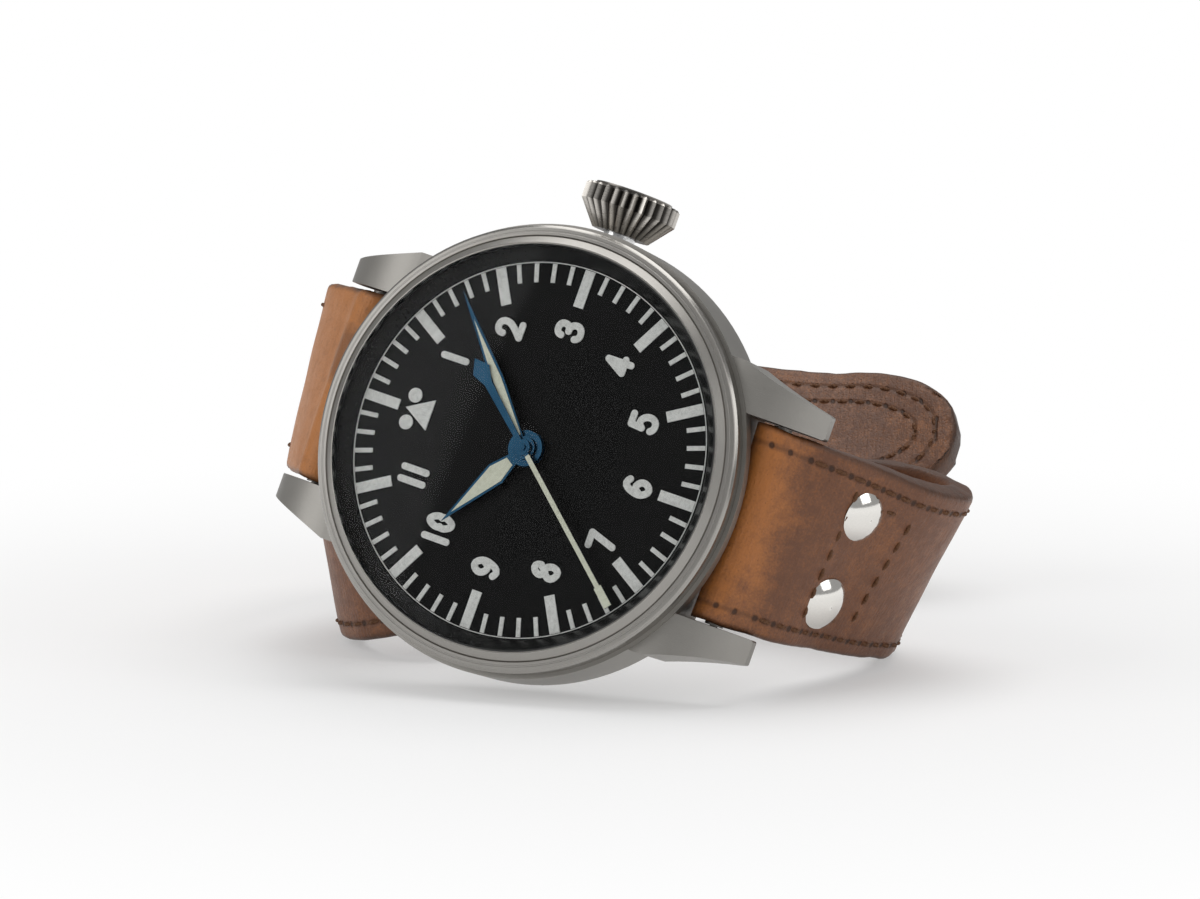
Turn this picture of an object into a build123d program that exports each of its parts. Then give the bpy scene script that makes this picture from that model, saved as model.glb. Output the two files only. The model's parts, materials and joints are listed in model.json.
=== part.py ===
from build123d import *
import os
from math import atan2, cos, degrees, hypot, pi, radians, sin, sqrt

os.makedirs("parts", exist_ok=True)

# Pilot watch in millimetres. Every piece is first made in the case frame:
# X runs from the middle to the crown, Y to twelve o'clock, Z out of the dial,
# with the dial's face at zero. The finished pieces are then all turned by the
# same plane to the way the watch stands, on the edge of its case and its strap.

# How the watch stands
dial_lean = 15.9      # the dial looks up by this
dial_turn = 22.0      # the dial looks to the left by this
crown_tilt = 14.7     # the upright leans from the crown towards twelve by this

# Case
case_r = 22.0
case_depth = 6.0
case_bore_r = 18.2
case_edge = 0.3
lug_gap = 20.0
lug_tip_y = 26.2
lug_tip_x = 12.4
lug_mid_x = 13.3
lug_mid_y = 22.3
lug_root_x = 14.7
lug_root_y = 17.8
lug_start_y = 15.0
lug_top_drop = 0.1
lug_tip_drop = 4.8
lug_depth = 6.5
lug_end_chamfer = 0.7
lug_soft = 0.25
bar_y = 22.2
bar_drop = 4.0
bar_r = 0.9
bar_end_gap = 0.1
bar_pin_r = 0.4
bar_pin_reach = 0.8
bar_hole_depth = 1.1
pin_clear = 0.05
recess_y = 19.55
recess_lip = 1.1
overrun = 3.0

# Bezel, rehaut and crystal
bezel_r = 21.6
bezel_band_h = 1.3
bezel_top_r = 20.6
bezel_top_h = 1.75
bezel_edge = 0.3
bezel_bore_r = 19.65
bezel_inner_h = 2.3
bezel_inner_flat = 0.15
groove_w = 0.16
groove_deep = 0.14
rehaut_r = 19.55
rehaut_foot_r = 18.75
rehaut_lip_r = 18.3
rehaut_lip_lift = 0.05
rehaut_h = 1.8
crystal_r = 19.5
crystal_rim = 0.85
crystal_rise = 0.7
crystal_rim_land = 0.5
seat_gap = 0.05
crystal_gasket_w = 0.13

# Dial and its markings
dial_r = 18.6
dial_t = 0.4
dial_hole_r = 1.75
mark_h = 0.12
hour_bar_in = 14.35
hour_bar_out = 18.04
hour_bar_w = 1.05
tick_in = 16.2
tick_w = 0.44
ring_line_r = 18.15
ring_line_w = 0.09
numeral_r = 12.0
numeral_h = 3.1
numeral_w = 2.0
one_digit_w = 1.2
stroke_w = 0.68
triangle_out = 13.6
triangle_in = 10.8
triangle_w = 3.1
dot_x = 1.37
dot_y = 13.05
dot_r = 0.72
dial_foot_r = 0.35
dial_foot_at = 13.7
dial_foot_long = 0.8
numeral_count = 12
minute_count = 60

# Hands
hour_hand_z = 0.6
minute_hand_z = 0.95
seconds_hand_z = 1.3
hand_t = 0.15
seconds_t = 0.12
paint_t = 0.06
hour_angle = 302.0
minute_angle = 47.0
seconds_angle = 220.0
hour_tip = 10.85
hour_wide_at = 3.8
hour_wide = 2.3
hour_neck_at = 1.6
hour_neck = 1.2
hour_hub_r = 1.75
minute_tip = 16.9
minute_wide_at = 7.3
minute_wide = 1.32
minute_neck_at = 1.3
minute_neck = 0.7
minute_hub_r = 1.1
seconds_rod_w = 0.48
seconds_tab_w = 0.78
seconds_tab_start = 15.75
seconds_tip = 17.95
seconds_hub_r = 0.75
tail_tip = 10.2
tail_wide_at = 8.85
tail_wide = 1.9
tail_neck_at = 7.3
tail_neck = 0.8
paint_border = 0.22
hub_pin_r = 0.3

# Case back
back_r = 19.2
back_t = 0.8
back_boss_r = 17.5
back_boss_t = 0.6
back_notches = 6
back_notch_w = 2.4
back_notch_deep = 1.1
back_groove_r = 18.5
back_groove_w = 0.5
back_groove_deep = 0.4

# Crown and winding stem
stem_drop = 3.2
crown_start = 22.4
crown_kink = 24.75
crown_end = 26.45
crown_neck_r = 2.85
crown_r = 4.75
crown_flutes = 28
flute_deep = 0.5
crown_dome = 0.25
crown_edge = 0.2
crown_well = 24.7
tube_start = 20.5
tube_end = 23.6
tube_r = 1.6
stem_r = 0.6
stem_clear = 0.1
stem_end = 25.7
crown_gasket_r = 2.05
crown_gasket_w = 0.35
crown_gasket_x = 23.0
crown_gasket_long = 0.4

# Movement, counted down from the dial
main_r = 15.0
main_gap = 1.0
main_t = 1.4
ring_clear = 0.05
ring_top_gap = 0.05
ring_long = 5.65
bridge_t = 0.75
bridge_lift = 2.15
bridge_foot_w = 0.6
bridge_split = 4.0
wheel_t = 0.15
gear_gap = 0.1
tooth_deep = 0.22
fewest_teeth = 8
shaft_r = 0.3
pivot_r = 0.15
jewel_r = 0.75
jewel_t = 0.3
centre_wheel_r = 3.7
centre_pinion_r = 2.0
centre_arbor_r = 0.5
centre_bore_r = 0.27
seconds_arbor_r = 0.2
barrel_r = 6.1
barrel_angle = 65.0
barrel_h = 1.3
barrel_wall = 0.4
barrel_arbor_r = 1.2
spring_strip = 0.12
spring_turns = 8
spring_in = 1.5
third_pinion_r = 0.5
third_angle = 199.6
seconds_wheel_r = 3.5
seconds_pinion_r = 0.46
escape_wheel_r = 1.9
escape_pinion_r = 0.5
escape_angle = 275.0
pallet_reach = 2.6
pallet_angle = 300.0
balance_r = 4.3
balance_rim = 0.6
balance_t = 0.3
balance_reach = 3.3
balance_angle = 299.7
hairspring_in = 0.85
hairspring_out = 2.6
hairspring_turns = 6
hairspring_strip = 0.06
hairspring_t = 0.15
click_r = 0.7
click_long = 1.6
click_angle = 150.0
crown_wheel_x = 9.0
crown_wheel_r = 3.4
winding_pinion_r = 2.0
winding_pinion_start = 11.7
winding_pinion_end = 12.9
sliding_pinion_r = 1.6
sliding_pinion_start = 9.4
sliding_travel = 0.55
stem_square = 0.62
stem_pilot_end = 8.5
pinion_gap = 0.15
cannon_r = 1.05
minute_wheel_share = 3.0
hour_pinion_share = 4.0
cannon_tube_r = 0.8
hour_tube_r = 1.2
tube_clear = 0.05
screw_r = 0.45
screw_head_r = 0.9
screw_head_t = 0.35
screw_slot = 0.22
casing_screw_at = 16.6
casing_turns = (60, 240)

# Strap
strap_t = 3.0
strap_root_w = 19.5
strap_tip_w = 18.0
strap_buckle_w = 16.0
fold_r = 2.3
bar_fit = 0.05
tail_long = 106.0
tail_start_slope = 43.0
buckle_long = 125.0
buckle_start_slope = 25.9
tail_taper = 13.0
tail_end_w = 1.2
step_long = 3.3
hole_r = 1.1
hole_pitch = 6.5
hole_first = 26.0
rivet_r = 2.6
rivet_rise = 1.0
rivet_shank_r = 1.0
rivet_back_r = 1.7
rivet_back_t = 0.4
rivet_run = 10.5
rivet_spread = 9.2
fixed_keeper_run = 83.0
free_keeper_run = 72.0
keeper_w = 6.0
keeper_wall = 0.8
keeper_room = 3.4
keeper_gap = 0.6
buckle_bar_r = 0.8
buckle_fold_r = 2.2
buckle_notch_w = 3.2
buckle_notch_long = 4.6
buckle_wire_r = 0.95
buckle_reach = 10.5
buckle_side_gap = 0.35
tongue_w = 1.9
tongue_t = 1.0
tongue_ring_r = 1.45

UP = (Align.CENTER, Align.CENTER, Align.MIN)
saved = {}


def keep(piece, name):
    """Note a finished piece; all are written together once the stand is known."""
    saved[name] = piece.part
    return piece


def polar(radius, angle):
    """A place on the dial plane at an angle counted from the crown."""
    return (radius * cos(radians(angle)), radius * sin(radians(angle)))


def clock(radius, angle):
    """A place on the dial plane at a clockwise angle from twelve."""
    return (radius * sin(radians(angle)), radius * cos(radians(angle)))


def disc(radius, low, high, at=(0, 0), mode=Mode.ADD):
    """A flat round layer between two heights."""
    with Locations((at[0], at[1], low)):
        Cylinder(radius, high - low, align=UP, mode=mode)


def hole(radius, low, high, at=(0, 0)):
    """A round hole through the layers between two heights."""
    disc(radius, low - overrun, high + overrun, at, Mode.SUBTRACT)


def gear(radius, low, high, at=(0, 0), mode=Mode.ADD):
    """A toothed wheel: its tooth count follows its size."""
    count = max(fewest_teeth, round(pi * radius / tooth_deep))
    root = radius - min(tooth_deep, radius / 3)
    with BuildSketch(Plane((at[0], at[1], low))) as outline:
        with BuildLine():
            Polyline(*star(radius, root, count), close=True)
        make_face()
    extrude(outline.sketch, amount=high - low, mode=mode)


def star(radius, root, count):
    """Points of a toothed outline, tip and root by turns."""
    turn = 360 / count
    points = []
    for number in range(count):
        points.append(polar(radius, number * turn))
        points.append(polar(root, (number + 0.5) * turn))
    return points


def along_x(radius, start, end, z, mode=Mode.ADD):
    """A round bar or bore along the stem."""
    with Locations(Location((start, 0, z), (0, 90, 0))):
        Cylinder(radius, end - start, align=UP, mode=mode)


# Heights that the pieces share
case_top = -dial_t
case_low = case_top - case_depth
bar_z = case_top - bar_drop
stem_z = case_top - stem_drop
back_low = case_low - back_t
boss_low = back_low - back_boss_t
main_top = case_top - main_gap
main_low = main_top - main_t
bridge_top = main_low - bridge_lift
bridge_low = bridge_top - bridge_t
wheel_level = main_low - 0.5 * wheel_t

# Mid case: a round flank with four curved lugs, open between them for the strap
lug_low = case_top - lug_depth
lug_top = case_top - lug_top_drop
with BuildPart() as lug:
    with BuildSketch(Plane.YZ.offset(lug_gap / 2)):
        with BuildLine():
            top = TangentArc(
                (lug_root_y, lug_top), (lug_tip_y, case_top - lug_tip_drop), tangent=(1, 0)
            )
            Polyline(
                top @ 1,
                (lug_tip_y, lug_low + lug_end_chamfer),
                (lug_tip_y - lug_end_chamfer, lug_low),
                (lug_start_y, lug_low),
                (lug_start_y, lug_top),
                top @ 0,
            )
        make_face()
    extrude(amount=lug_root_x)
    with BuildSketch(Plane.XY.offset(lug_low - overrun)):
        with BuildLine():
            Spline(
                (lug_root_x, lug_root_y),
                (lug_mid_x, lug_mid_y),
                (lug_tip_x, lug_tip_y),
            )
            Polyline(
                (lug_tip_x, lug_tip_y),
                (lug_gap / 2, lug_tip_y),
                (lug_gap / 2, lug_start_y),
                (lug_root_x, lug_start_y),
                (lug_root_x, lug_root_y),
            )
        make_face()
    extrude(amount=lug_depth + 2 * overrun, mode=Mode.INTERSECT)
    fillet(lug.edges().filter_by(Axis.Z).group_by(Axis.Y)[-1], lug_soft)

with BuildPart() as lugs:
    add(lug.part)
    mirror(about=Plane.YZ)
    mirror(about=Plane.XZ)

with BuildPart() as mid_case:
    disc(case_r, case_low, case_top)
    chamfer(mid_case.edges().group_by(Axis.Z)[0], case_edge)
    add(lugs.part)
    hole(case_bore_r, case_low, case_top)
    # The strap's fold lies between the lugs under a thin round lip
    recess_low = case_low - overrun
    recess_h = case_top - recess_lip - recess_low
    for side in (1, -1):
        with Locations((0, side * (recess_y + overrun), recess_low)):
            Box(lug_gap, 2 * overrun, recess_h, align=UP, mode=Mode.SUBTRACT)
        pin_hole = lug_gap / 2 + bar_hole_depth
        with Locations(Location((-pin_hole, side * bar_y, bar_z), (0, 90, 0))):
            Cylinder(bar_pin_r + pin_clear, 2 * pin_hole, align=UP, mode=Mode.SUBTRACT)
    disc(back_r + pin_clear, case_low - overrun, case_low, (0, 0), Mode.SUBTRACT)
    # Groove for the case back's gasket
    groove_top = case_low + back_groove_deep
    with BuildSketch(Plane.XY.offset(case_low)) as back_groove:
        Circle(back_groove_r + back_groove_w)
        Circle(back_groove_r, mode=Mode.SUBTRACT)
    extrude(back_groove.sketch, amount=back_groove_deep, mode=Mode.SUBTRACT)
    along_x(tube_r, case_bore_r - overrun, case_r + overrun, stem_z, Mode.SUBTRACT)
keep(mid_case, "mid_case")

for label, side in (("12", 1), ("6", -1)):
    with BuildPart() as spring_bar:
        half = lug_gap / 2 - bar_end_gap
        reach = half + bar_end_gap + bar_pin_reach
        with Locations(Location((-half, side * bar_y, bar_z), (0, 90, 0))):
            Cylinder(bar_r, 2 * half, align=UP)
        with Locations(Location((-reach, side * bar_y, bar_z), (0, 90, 0))):
            Cylinder(bar_pin_r, 2 * reach, align=UP)
    keep(spring_bar, "spring_bar_" + label)

# Bezel: a thin polished edge, a brushed slope and one fine groove
with BuildPart() as bezel:
    with BuildSketch(Plane.XZ) as bezel_profile:
        with BuildLine():
            slope_end = bezel_bore_r + bezel_inner_flat
            groove_in = bezel_top_r - groove_w
            band_top = case_top + bezel_band_h
            crest = case_top + bezel_top_h
            Polyline(
                (bezel_bore_r, case_top),
                (bezel_r, case_top),
                (bezel_r, band_top),
                (bezel_r - bezel_edge, band_top + bezel_edge),
                (bezel_top_r, crest),
                (bezel_top_r - groove_w / 2, crest - groove_deep),
                (groove_in, crest),
                (slope_end, case_top + bezel_inner_h),
                (bezel_bore_r, case_top + bezel_inner_h),
                close=True,
            )
        make_face()
    revolve(axis=Axis.Z)
keep(bezel, "bezel")

with BuildPart() as rehaut_ring:
    with BuildSketch(Plane.XZ):
        with BuildLine():
            Polyline(
                (rehaut_foot_r, case_top),
                (rehaut_r, case_top),
                (rehaut_r, case_top + rehaut_h),
                (rehaut_r - seat_gap, case_top + rehaut_h),
                (rehaut_lip_r, rehaut_lip_lift + seat_gap),
                (rehaut_lip_r, rehaut_lip_lift),
                (rehaut_foot_r, rehaut_lip_lift),
                close=True,
            )
        make_face()
    revolve(axis=Axis.Z)
keep(rehaut_ring, "rehaut_ring")

# Crystal: slightly domed inside and out, in a thin white gasket
crystal_low = case_top + rehaut_h + seat_gap
with BuildPart() as crystal:
    with BuildSketch(Plane.XZ):
        with BuildLine():
            land = crystal_r - crystal_rim_land
            inner_mid = crystal_low + crystal_rise
            rim_top = crystal_low + crystal_rim
            outer_mid = rim_top + crystal_rise
            ThreePointArc((-land, crystal_low), (0, inner_mid), (land, crystal_low))
            Polyline((land, crystal_low), (crystal_r, crystal_low), (crystal_r, rim_top))
            ThreePointArc((crystal_r, rim_top), (0, outer_mid), (-crystal_r, rim_top))
            Polyline((-crystal_r, rim_top), (-crystal_r, crystal_low), (-land, crystal_low))
        make_face()
        split(bisect_by=Plane.YZ)
    revolve(axis=Axis.Z)
keep(crystal, "crystal")

with BuildPart() as crystal_gasket:
    disc(crystal_r + crystal_gasket_w, crystal_low, case_top + bezel_inner_h)
    hole(crystal_r, crystal_low, case_top + bezel_inner_h)
keep(crystal_gasket, "crystal_gasket")

# Dial with two feet that stand in the mainplate
with BuildPart() as dial:
    disc(dial_r, case_top, 0)
    hole(dial_hole_r, case_top, 0)
    for turn in (95, 275):
        disc(dial_foot_r, main_top - dial_foot_long, case_top, polar(dial_foot_at, turn))
keep(dial, "dial")

# Raised hour bars, minute ticks and the thin line round them
with BuildPart() as dial_markers:
    with BuildSketch():
        Circle(ring_line_r + ring_line_w / 2)
        Circle(ring_line_r - ring_line_w / 2, mode=Mode.SUBTRACT)
        for number in range(minute_count):
            turn = 360 * number / minute_count
            is_hour = number % (minute_count // numeral_count) == 0
            start = hour_bar_in if is_hour else tick_in
            width = hour_bar_w if is_hour else tick_w
            middle = (start + hour_bar_out) / 2
            with Locations(Location((*clock(middle, turn), 0), (0, 0, -turn))):
                Rectangle(width, hour_bar_out - start)
    extrude(amount=mark_h)
keep(dial_markers, "dial_markers")

# Each numeral is a stroke along shares of its width and height, from its middle
digit_shares = {
    "0": [[(0.5, 0), (0.42, 0.36), (0, 0.5), (-0.42, 0.36), (-0.5, 0)],
          [(-0.5, 0), (-0.42, -0.36), (0, -0.5), (0.42, -0.36), (0.5, 0)]],
    "1": [[(0, 0.5), (0, -0.5)]],
    "2": [[(-0.46, 0.24), (-0.2, 0.48), (0.3, 0.44), (0.45, 0.2), (0.2, -0.12),
           (-0.46, -0.5)],
          [(-0.46, -0.5), (0.5, -0.5)]],
    "3": [[(-0.46, 0.3), (-0.15, 0.5), (0.35, 0.42), (0.38, 0.16), (-0.06, 0.04)],
          [(-0.06, 0.04), (0.42, -0.08), (0.42, -0.38), (-0.12, -0.5), (-0.5, -0.3)]],
    "4": [[(0.24, -0.5), (0.24, 0.5)], [(0.24, 0.5), (-0.5, -0.22)],
          [(-0.5, -0.22), (0.5, -0.22)]],
    "5": [[(0.42, 0.5), (-0.34, 0.5)], [(-0.34, 0.5), (-0.42, 0.02)],
          [(-0.42, 0.02), (0.1, 0.14), (0.46, -0.14), (0.25, -0.46), (-0.15, -0.5),
           (-0.48, -0.36)]],
    "6": [[(0.42, 0.4), (0.02, 0.5), (-0.42, 0.12), (-0.44, -0.24), (0, -0.5),
           (0.44, -0.2), (0.02, 0.08), (-0.34, -0.08)]],
    "7": [[(-0.48, 0.5), (0.46, 0.5)], [(0.46, 0.5), (-0.12, -0.5)]],
    "8": [[(0.36, 0.27), (0, 0.5), (-0.36, 0.27), (0, 0.05)],
          [(0, 0.05), (0.36, 0.27)],
          [(0.44, -0.23), (0, 0.04), (-0.44, -0.23), (0, -0.5), (0.44, -0.23)]],
    "9": [[(-0.42, -0.4), (-0.02, -0.5), (0.42, -0.12), (0.44, 0.24), (0, 0.5),
           (-0.44, 0.2), (-0.02, -0.08), (0.34, 0.08)]],
}


def stroke(points):
    """One line or curve of a numeral, drawn as short round-ended slots."""
    steps = 1
    with BuildLine() as run:
        if len(points) == 2:
            Line(*points)
        else:
            Spline(*points)
            steps = 3 * len(points)
    path = run.line.edges()[0]
    places = [path @ (step / steps) for step in range(steps + 1)]
    for first, last in zip(places, places[1:]):
        ahead = last - first
        middle = (first + last) / 2
        turn = degrees(atan2(ahead.Y, ahead.X))
        with Locations(Location((middle.X, middle.Y, 0), (0, 0, turn))):
            SlotCenterToCenter(ahead.length, stroke_w)


def numeral(text, turn):
    """A numeral's strokes, upright on the dial."""
    middle = clock(numeral_r, turn)
    start = -one_digit_w * (len(text) - 1) / 2
    for place, letter in enumerate(text):
        width = numeral_w - stroke_w
        if len(text) > 1:
            width = numeral_w * one_digit_w / 2 - stroke_w / 2
        x = middle[0] + start + place * (one_digit_w + width * (letter == "0") / 2)
        high = numeral_h - stroke_w
        with BuildSketch() as mark:
            for points in digit_shares[letter]:
                placed = [(x + width * p[0], middle[1] + high * p[1]) for p in points]
                stroke(placed)
        extrude(mark.sketch, amount=mark_h)


with BuildPart() as dial_numerals:
    for number in range(1, numeral_count):
        numeral(str(number), 360 * number / numeral_count)
    with BuildSketch() as triangle:
        with BuildLine():
            half = triangle_w / 2
            Polyline(
                (0, triangle_out), (half, triangle_in), (-half, triangle_in), close=True
            )
        make_face()
    extrude(triangle.sketch, amount=mark_h)
    for side in (1, -1):
        disc(dot_r, 0, mark_h, (side * dot_x, dot_y))
keep(dial_numerals, "dial_numerals")


def hand_sketch(plane, tip, wide_at, wide, neck_at, neck):
    """A sword hand's outline, from its neck at the hub to its tip."""
    with BuildSketch(plane) as outline:
        with BuildLine():
            Polyline(
                (neck / 2, 0),
                (neck / 2, neck_at),
                (wide / 2, wide_at),
                (0, tip),
                (-wide / 2, wide_at),
                (-neck / 2, neck_at),
                (-neck / 2, 0),
                close=True,
            )
        make_face()
    return outline.sketch


def hand_plane(z, angle):
    """A plane whose Y axis points the way the hand points."""
    return Plane(origin=(0, 0, z), x_dir=(*clock(1, angle + 90), 0), z_dir=(0, 0, 1))


def paint_sketch(plane, tip, wide_at, wide, neck_at):
    """The pale inlay on a sword hand, inside a border of steel."""
    half = wide / 2 - paint_border
    with BuildSketch(plane) as outline:
        with BuildLine():
            Polyline(
                (half / 2, neck_at),
                (half, wide_at),
                (0, tip),
                (-half, wide_at),
                (-half / 2, neck_at),
                close=True,
            )
        make_face()
    return outline.sketch


# Hour hand on the hour wheel's tube
with BuildPart() as hour_hand:
    plane = hand_plane(hour_hand_z, hour_angle)
    blade = hand_sketch(
        plane, hour_tip, hour_wide_at, hour_wide, hour_neck_at, hour_neck
    )
    extrude(blade, amount=hand_t)
    disc(hour_hub_r, hour_hand_z, hour_hand_z + hand_t)
    hole(hour_tube_r, hour_hand_z, hour_hand_z + hand_t)
keep(hour_hand, "hour_hand")

with BuildPart() as hour_hand_paint:
    plane = hand_plane(hour_hand_z + hand_t, hour_angle)
    inlay_end = hour_tip - (hour_tip - hour_wide_at) * paint_border / (hour_wide / 2)
    inlay = paint_sketch(
        plane, inlay_end, hour_wide_at, hour_wide, hour_hub_r + paint_border
    )
    extrude(inlay, amount=paint_t)
keep(hour_hand_paint, "hour_hand_paint")

# Minute hand on the cannon pinion
with BuildPart() as minute_hand:
    plane = hand_plane(minute_hand_z, minute_angle)
    blade = hand_sketch(
        plane, minute_tip, minute_wide_at, minute_wide, minute_neck_at, minute_neck
    )
    extrude(blade, amount=hand_t)
    disc(minute_hub_r, minute_hand_z, minute_hand_z + hand_t)
    hole(cannon_tube_r, minute_hand_z, minute_hand_z + hand_t)
keep(minute_hand, "minute_hand")

with BuildPart() as minute_hand_paint:
    plane = hand_plane(minute_hand_z + hand_t, minute_angle)
    slim = (minute_tip - minute_wide_at) * paint_border / (minute_wide / 2)
    inlay = paint_sketch(
        plane, minute_tip - slim, minute_wide_at, minute_wide,
        minute_hub_r + paint_border,
    )
    extrude(inlay, amount=paint_t)
keep(minute_hand_paint, "minute_hand_paint")

# Seconds hand: a painted rod with a wider end, and a bare spade-shaped tail
seconds_top = seconds_hand_z + seconds_t
with BuildPart() as seconds_hand:
    plane = hand_plane(seconds_hand_z, seconds_angle)
    with BuildSketch(plane) as seconds_outline:
        with BuildLine():
            Polyline(
                (seconds_rod_w / 2, 0),
                (seconds_rod_w / 2, seconds_tab_start),
                (seconds_tab_w / 2, seconds_tab_start),
                (seconds_tab_w / 2, seconds_tip),
                (-seconds_tab_w / 2, seconds_tip),
                (-seconds_tab_w / 2, seconds_tab_start),
                (-seconds_rod_w / 2, seconds_tab_start),
                (-seconds_rod_w / 2, 0),
                (-tail_neck / 2, -tail_neck_at),
                (-tail_wide / 2, -tail_wide_at),
                (0, -tail_tip),
                (tail_wide / 2, -tail_wide_at),
                (tail_neck / 2, -tail_neck_at),
                close=True,
            )
        make_face()
    extrude(seconds_outline.sketch, amount=seconds_t)
    disc(seconds_hub_r, seconds_hand_z, seconds_top)
    disc(hub_pin_r, seconds_hand_z, seconds_top + hand_t)
keep(seconds_hand, "seconds_hand")

with BuildPart() as seconds_hand_paint:
    plane = hand_plane(seconds_top, seconds_angle)
    with BuildSketch(plane) as rod:
        rod_start = seconds_hub_r + paint_border
        with Locations((0, (rod_start + seconds_tab_start) / 2)):
            Rectangle(seconds_rod_w, seconds_tab_start - rod_start)
        with Locations((0, (seconds_tab_start + seconds_tip) / 2)):
            Rectangle(seconds_tab_w, seconds_tip - seconds_tab_start)
    extrude(rod.sketch, amount=paint_t)
keep(seconds_hand_paint, "seconds_hand_paint")

# Case back with six key notches, and its flat gasket
with BuildPart() as case_back:
    disc(back_r, back_low, case_low)
    disc(back_boss_r, boss_low, back_low)
    with PolarLocations(back_r, back_notches):
        with Locations((0, 0, back_low)):
            Box(2 * back_notch_deep, back_notch_w, 2 * back_groove_deep, mode=Mode.SUBTRACT)
keep(case_back, "case_back")

with BuildPart() as case_back_gasket:
    gasket_low = case_low
    disc(back_groove_r + back_groove_w - seat_gap, gasket_low, groove_top - seat_gap)
    hole(back_groove_r + seat_gap, gasket_low, groove_top)
keep(case_back_gasket, "case_back_gasket")


def crown_plane(x):
    """A plane across the stem."""
    return Plane(origin=(x, 0, stem_z), x_dir=(0, 1, 0), z_dir=(1, 0, 0))


def fluted(x, radius, depth):
    """The crown's outline across the stem, with pointed flutes."""
    with BuildSketch(crown_plane(x)) as outline:
        with BuildLine():
            Polyline(*star(radius, radius - depth, crown_flutes), close=True)
        make_face()
    return outline.sketch


# Onion crown: a fluted cone that opens to a fluted band with a low domed end
with BuildPart() as crown:
    neck = fluted(crown_start, crown_neck_r, flute_deep * crown_neck_r / crown_r)
    kink = fluted(crown_kink, crown_r, flute_deep)
    rim = fluted(crown_end - crown_edge, crown_r, flute_deep)
    end = fluted(crown_end, crown_r - crown_edge, flute_deep)
    loft([neck, kink], ruled=True)
    loft([kink, rim], ruled=True)
    loft([rim, end], ruled=True)
    cap_r = crown_r - crown_edge - flute_deep
    along_x(cap_r - crown_edge, crown_end, crown_end + crown_dome, stem_z)
    along_x(
        tube_r + stem_clear, crown_start - overrun, crown_well, stem_z, Mode.SUBTRACT
    )
    along_x(
        crown_gasket_r, crown_gasket_x, crown_gasket_x + crown_gasket_long, stem_z,
        Mode.SUBTRACT,
    )
    along_x(stem_r, crown_start, stem_end, stem_z, Mode.SUBTRACT)
keep(crown, "crown")

with BuildPart() as crown_gasket:
    along_x(crown_gasket_r, crown_gasket_x, crown_gasket_x + crown_gasket_long, stem_z)
    along_x(
        crown_gasket_r - crown_gasket_w, crown_gasket_x - overrun,
        crown_gasket_x + overrun, stem_z, Mode.SUBTRACT,
    )
keep(crown_gasket, "crown_gasket")

with BuildPart() as crown_tube:
    along_x(tube_r, tube_start, tube_end, stem_z)
    along_x(
        stem_r + stem_clear, tube_start - overrun, tube_end + overrun, stem_z,
        Mode.SUBTRACT,
    )
keep(crown_tube, "crown_tube")

with BuildPart() as winding_stem:
    along_x(stem_r, winding_pinion_start, stem_end, stem_z)
    square_start = stem_pilot_end + shaft_r
    with Locations(Location((square_start, 0, stem_z), (0, 90, 0))):
        Box(stem_square, stem_square, winding_pinion_start - square_start, align=UP)
    along_x(shaft_r, stem_pilot_end, square_start, stem_z)
keep(winding_stem, "winding_stem")

with BuildPart() as winding_pinion:
    ring = crown_plane(winding_pinion_start)
    with BuildSketch(ring) as outline:
        with BuildLine():
            count = round(pi * winding_pinion_r / tooth_deep)
            Polyline(*star(winding_pinion_r, winding_pinion_r - tooth_deep, count), close=True)
        make_face()
        Circle(stem_r + pin_clear, mode=Mode.SUBTRACT)
    extrude(outline.sketch, amount=winding_pinion_end - winding_pinion_start)
keep(winding_pinion, "winding_pinion")

with BuildPart() as sliding_pinion:
    with BuildSketch(crown_plane(sliding_pinion_start)) as outline:
        Circle(sliding_pinion_r)
        fit = stem_square + 2 * pin_clear
        Rectangle(fit, fit, mode=Mode.SUBTRACT)
    length = winding_pinion_start - pinion_gap - sliding_pinion_start
    extrude(outline.sketch, amount=length)
    groove_start = sliding_pinion_start + length / 3
    with BuildSketch(crown_plane(groove_start)) as yoke_groove:
        Circle(sliding_pinion_r + overrun)
        Circle(sliding_pinion_r * 2 / 3, mode=Mode.SUBTRACT)
    extrude(yoke_groove.sketch, amount=length / 4, mode=Mode.SUBTRACT)
keep(sliding_pinion, "sliding_pinion")

# Ring that holds the movement in the case
ring_top = case_top - ring_top_gap
ring_low = ring_top - ring_long
with BuildPart() as movement_ring:
    disc(case_bore_r - ring_clear, ring_low, ring_top)
    hole(main_r + ring_clear, ring_low, ring_top)
    along_x(stem_r + 4 * stem_clear, main_r - overrun, case_r, stem_z, Mode.SUBTRACT)
    for turn in casing_turns:
        place = polar(casing_screw_at, turn)
        disc(screw_head_r, ring_low, ring_low + screw_head_t, place, Mode.SUBTRACT)
        disc(screw_r, ring_low, main_low, place, Mode.SUBTRACT)
keep(movement_ring, "movement_ring")


def screw(head_low, end, at):
    """A cheese-head screw with a slot, its head towards the case back."""
    disc(screw_head_r, head_low, head_low + screw_head_t, at)
    disc(screw_r, head_low, end, at)
    with Locations((at[0], at[1], head_low)):
        Box(3 * screw_head_r, screw_slot, screw_slot, mode=Mode.SUBTRACT)


with BuildPart() as casing_screws:
    for turn in casing_turns:
        screw(ring_low, main_low, polar(casing_screw_at, turn))
keep(casing_screws, "casing_screws")

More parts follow.
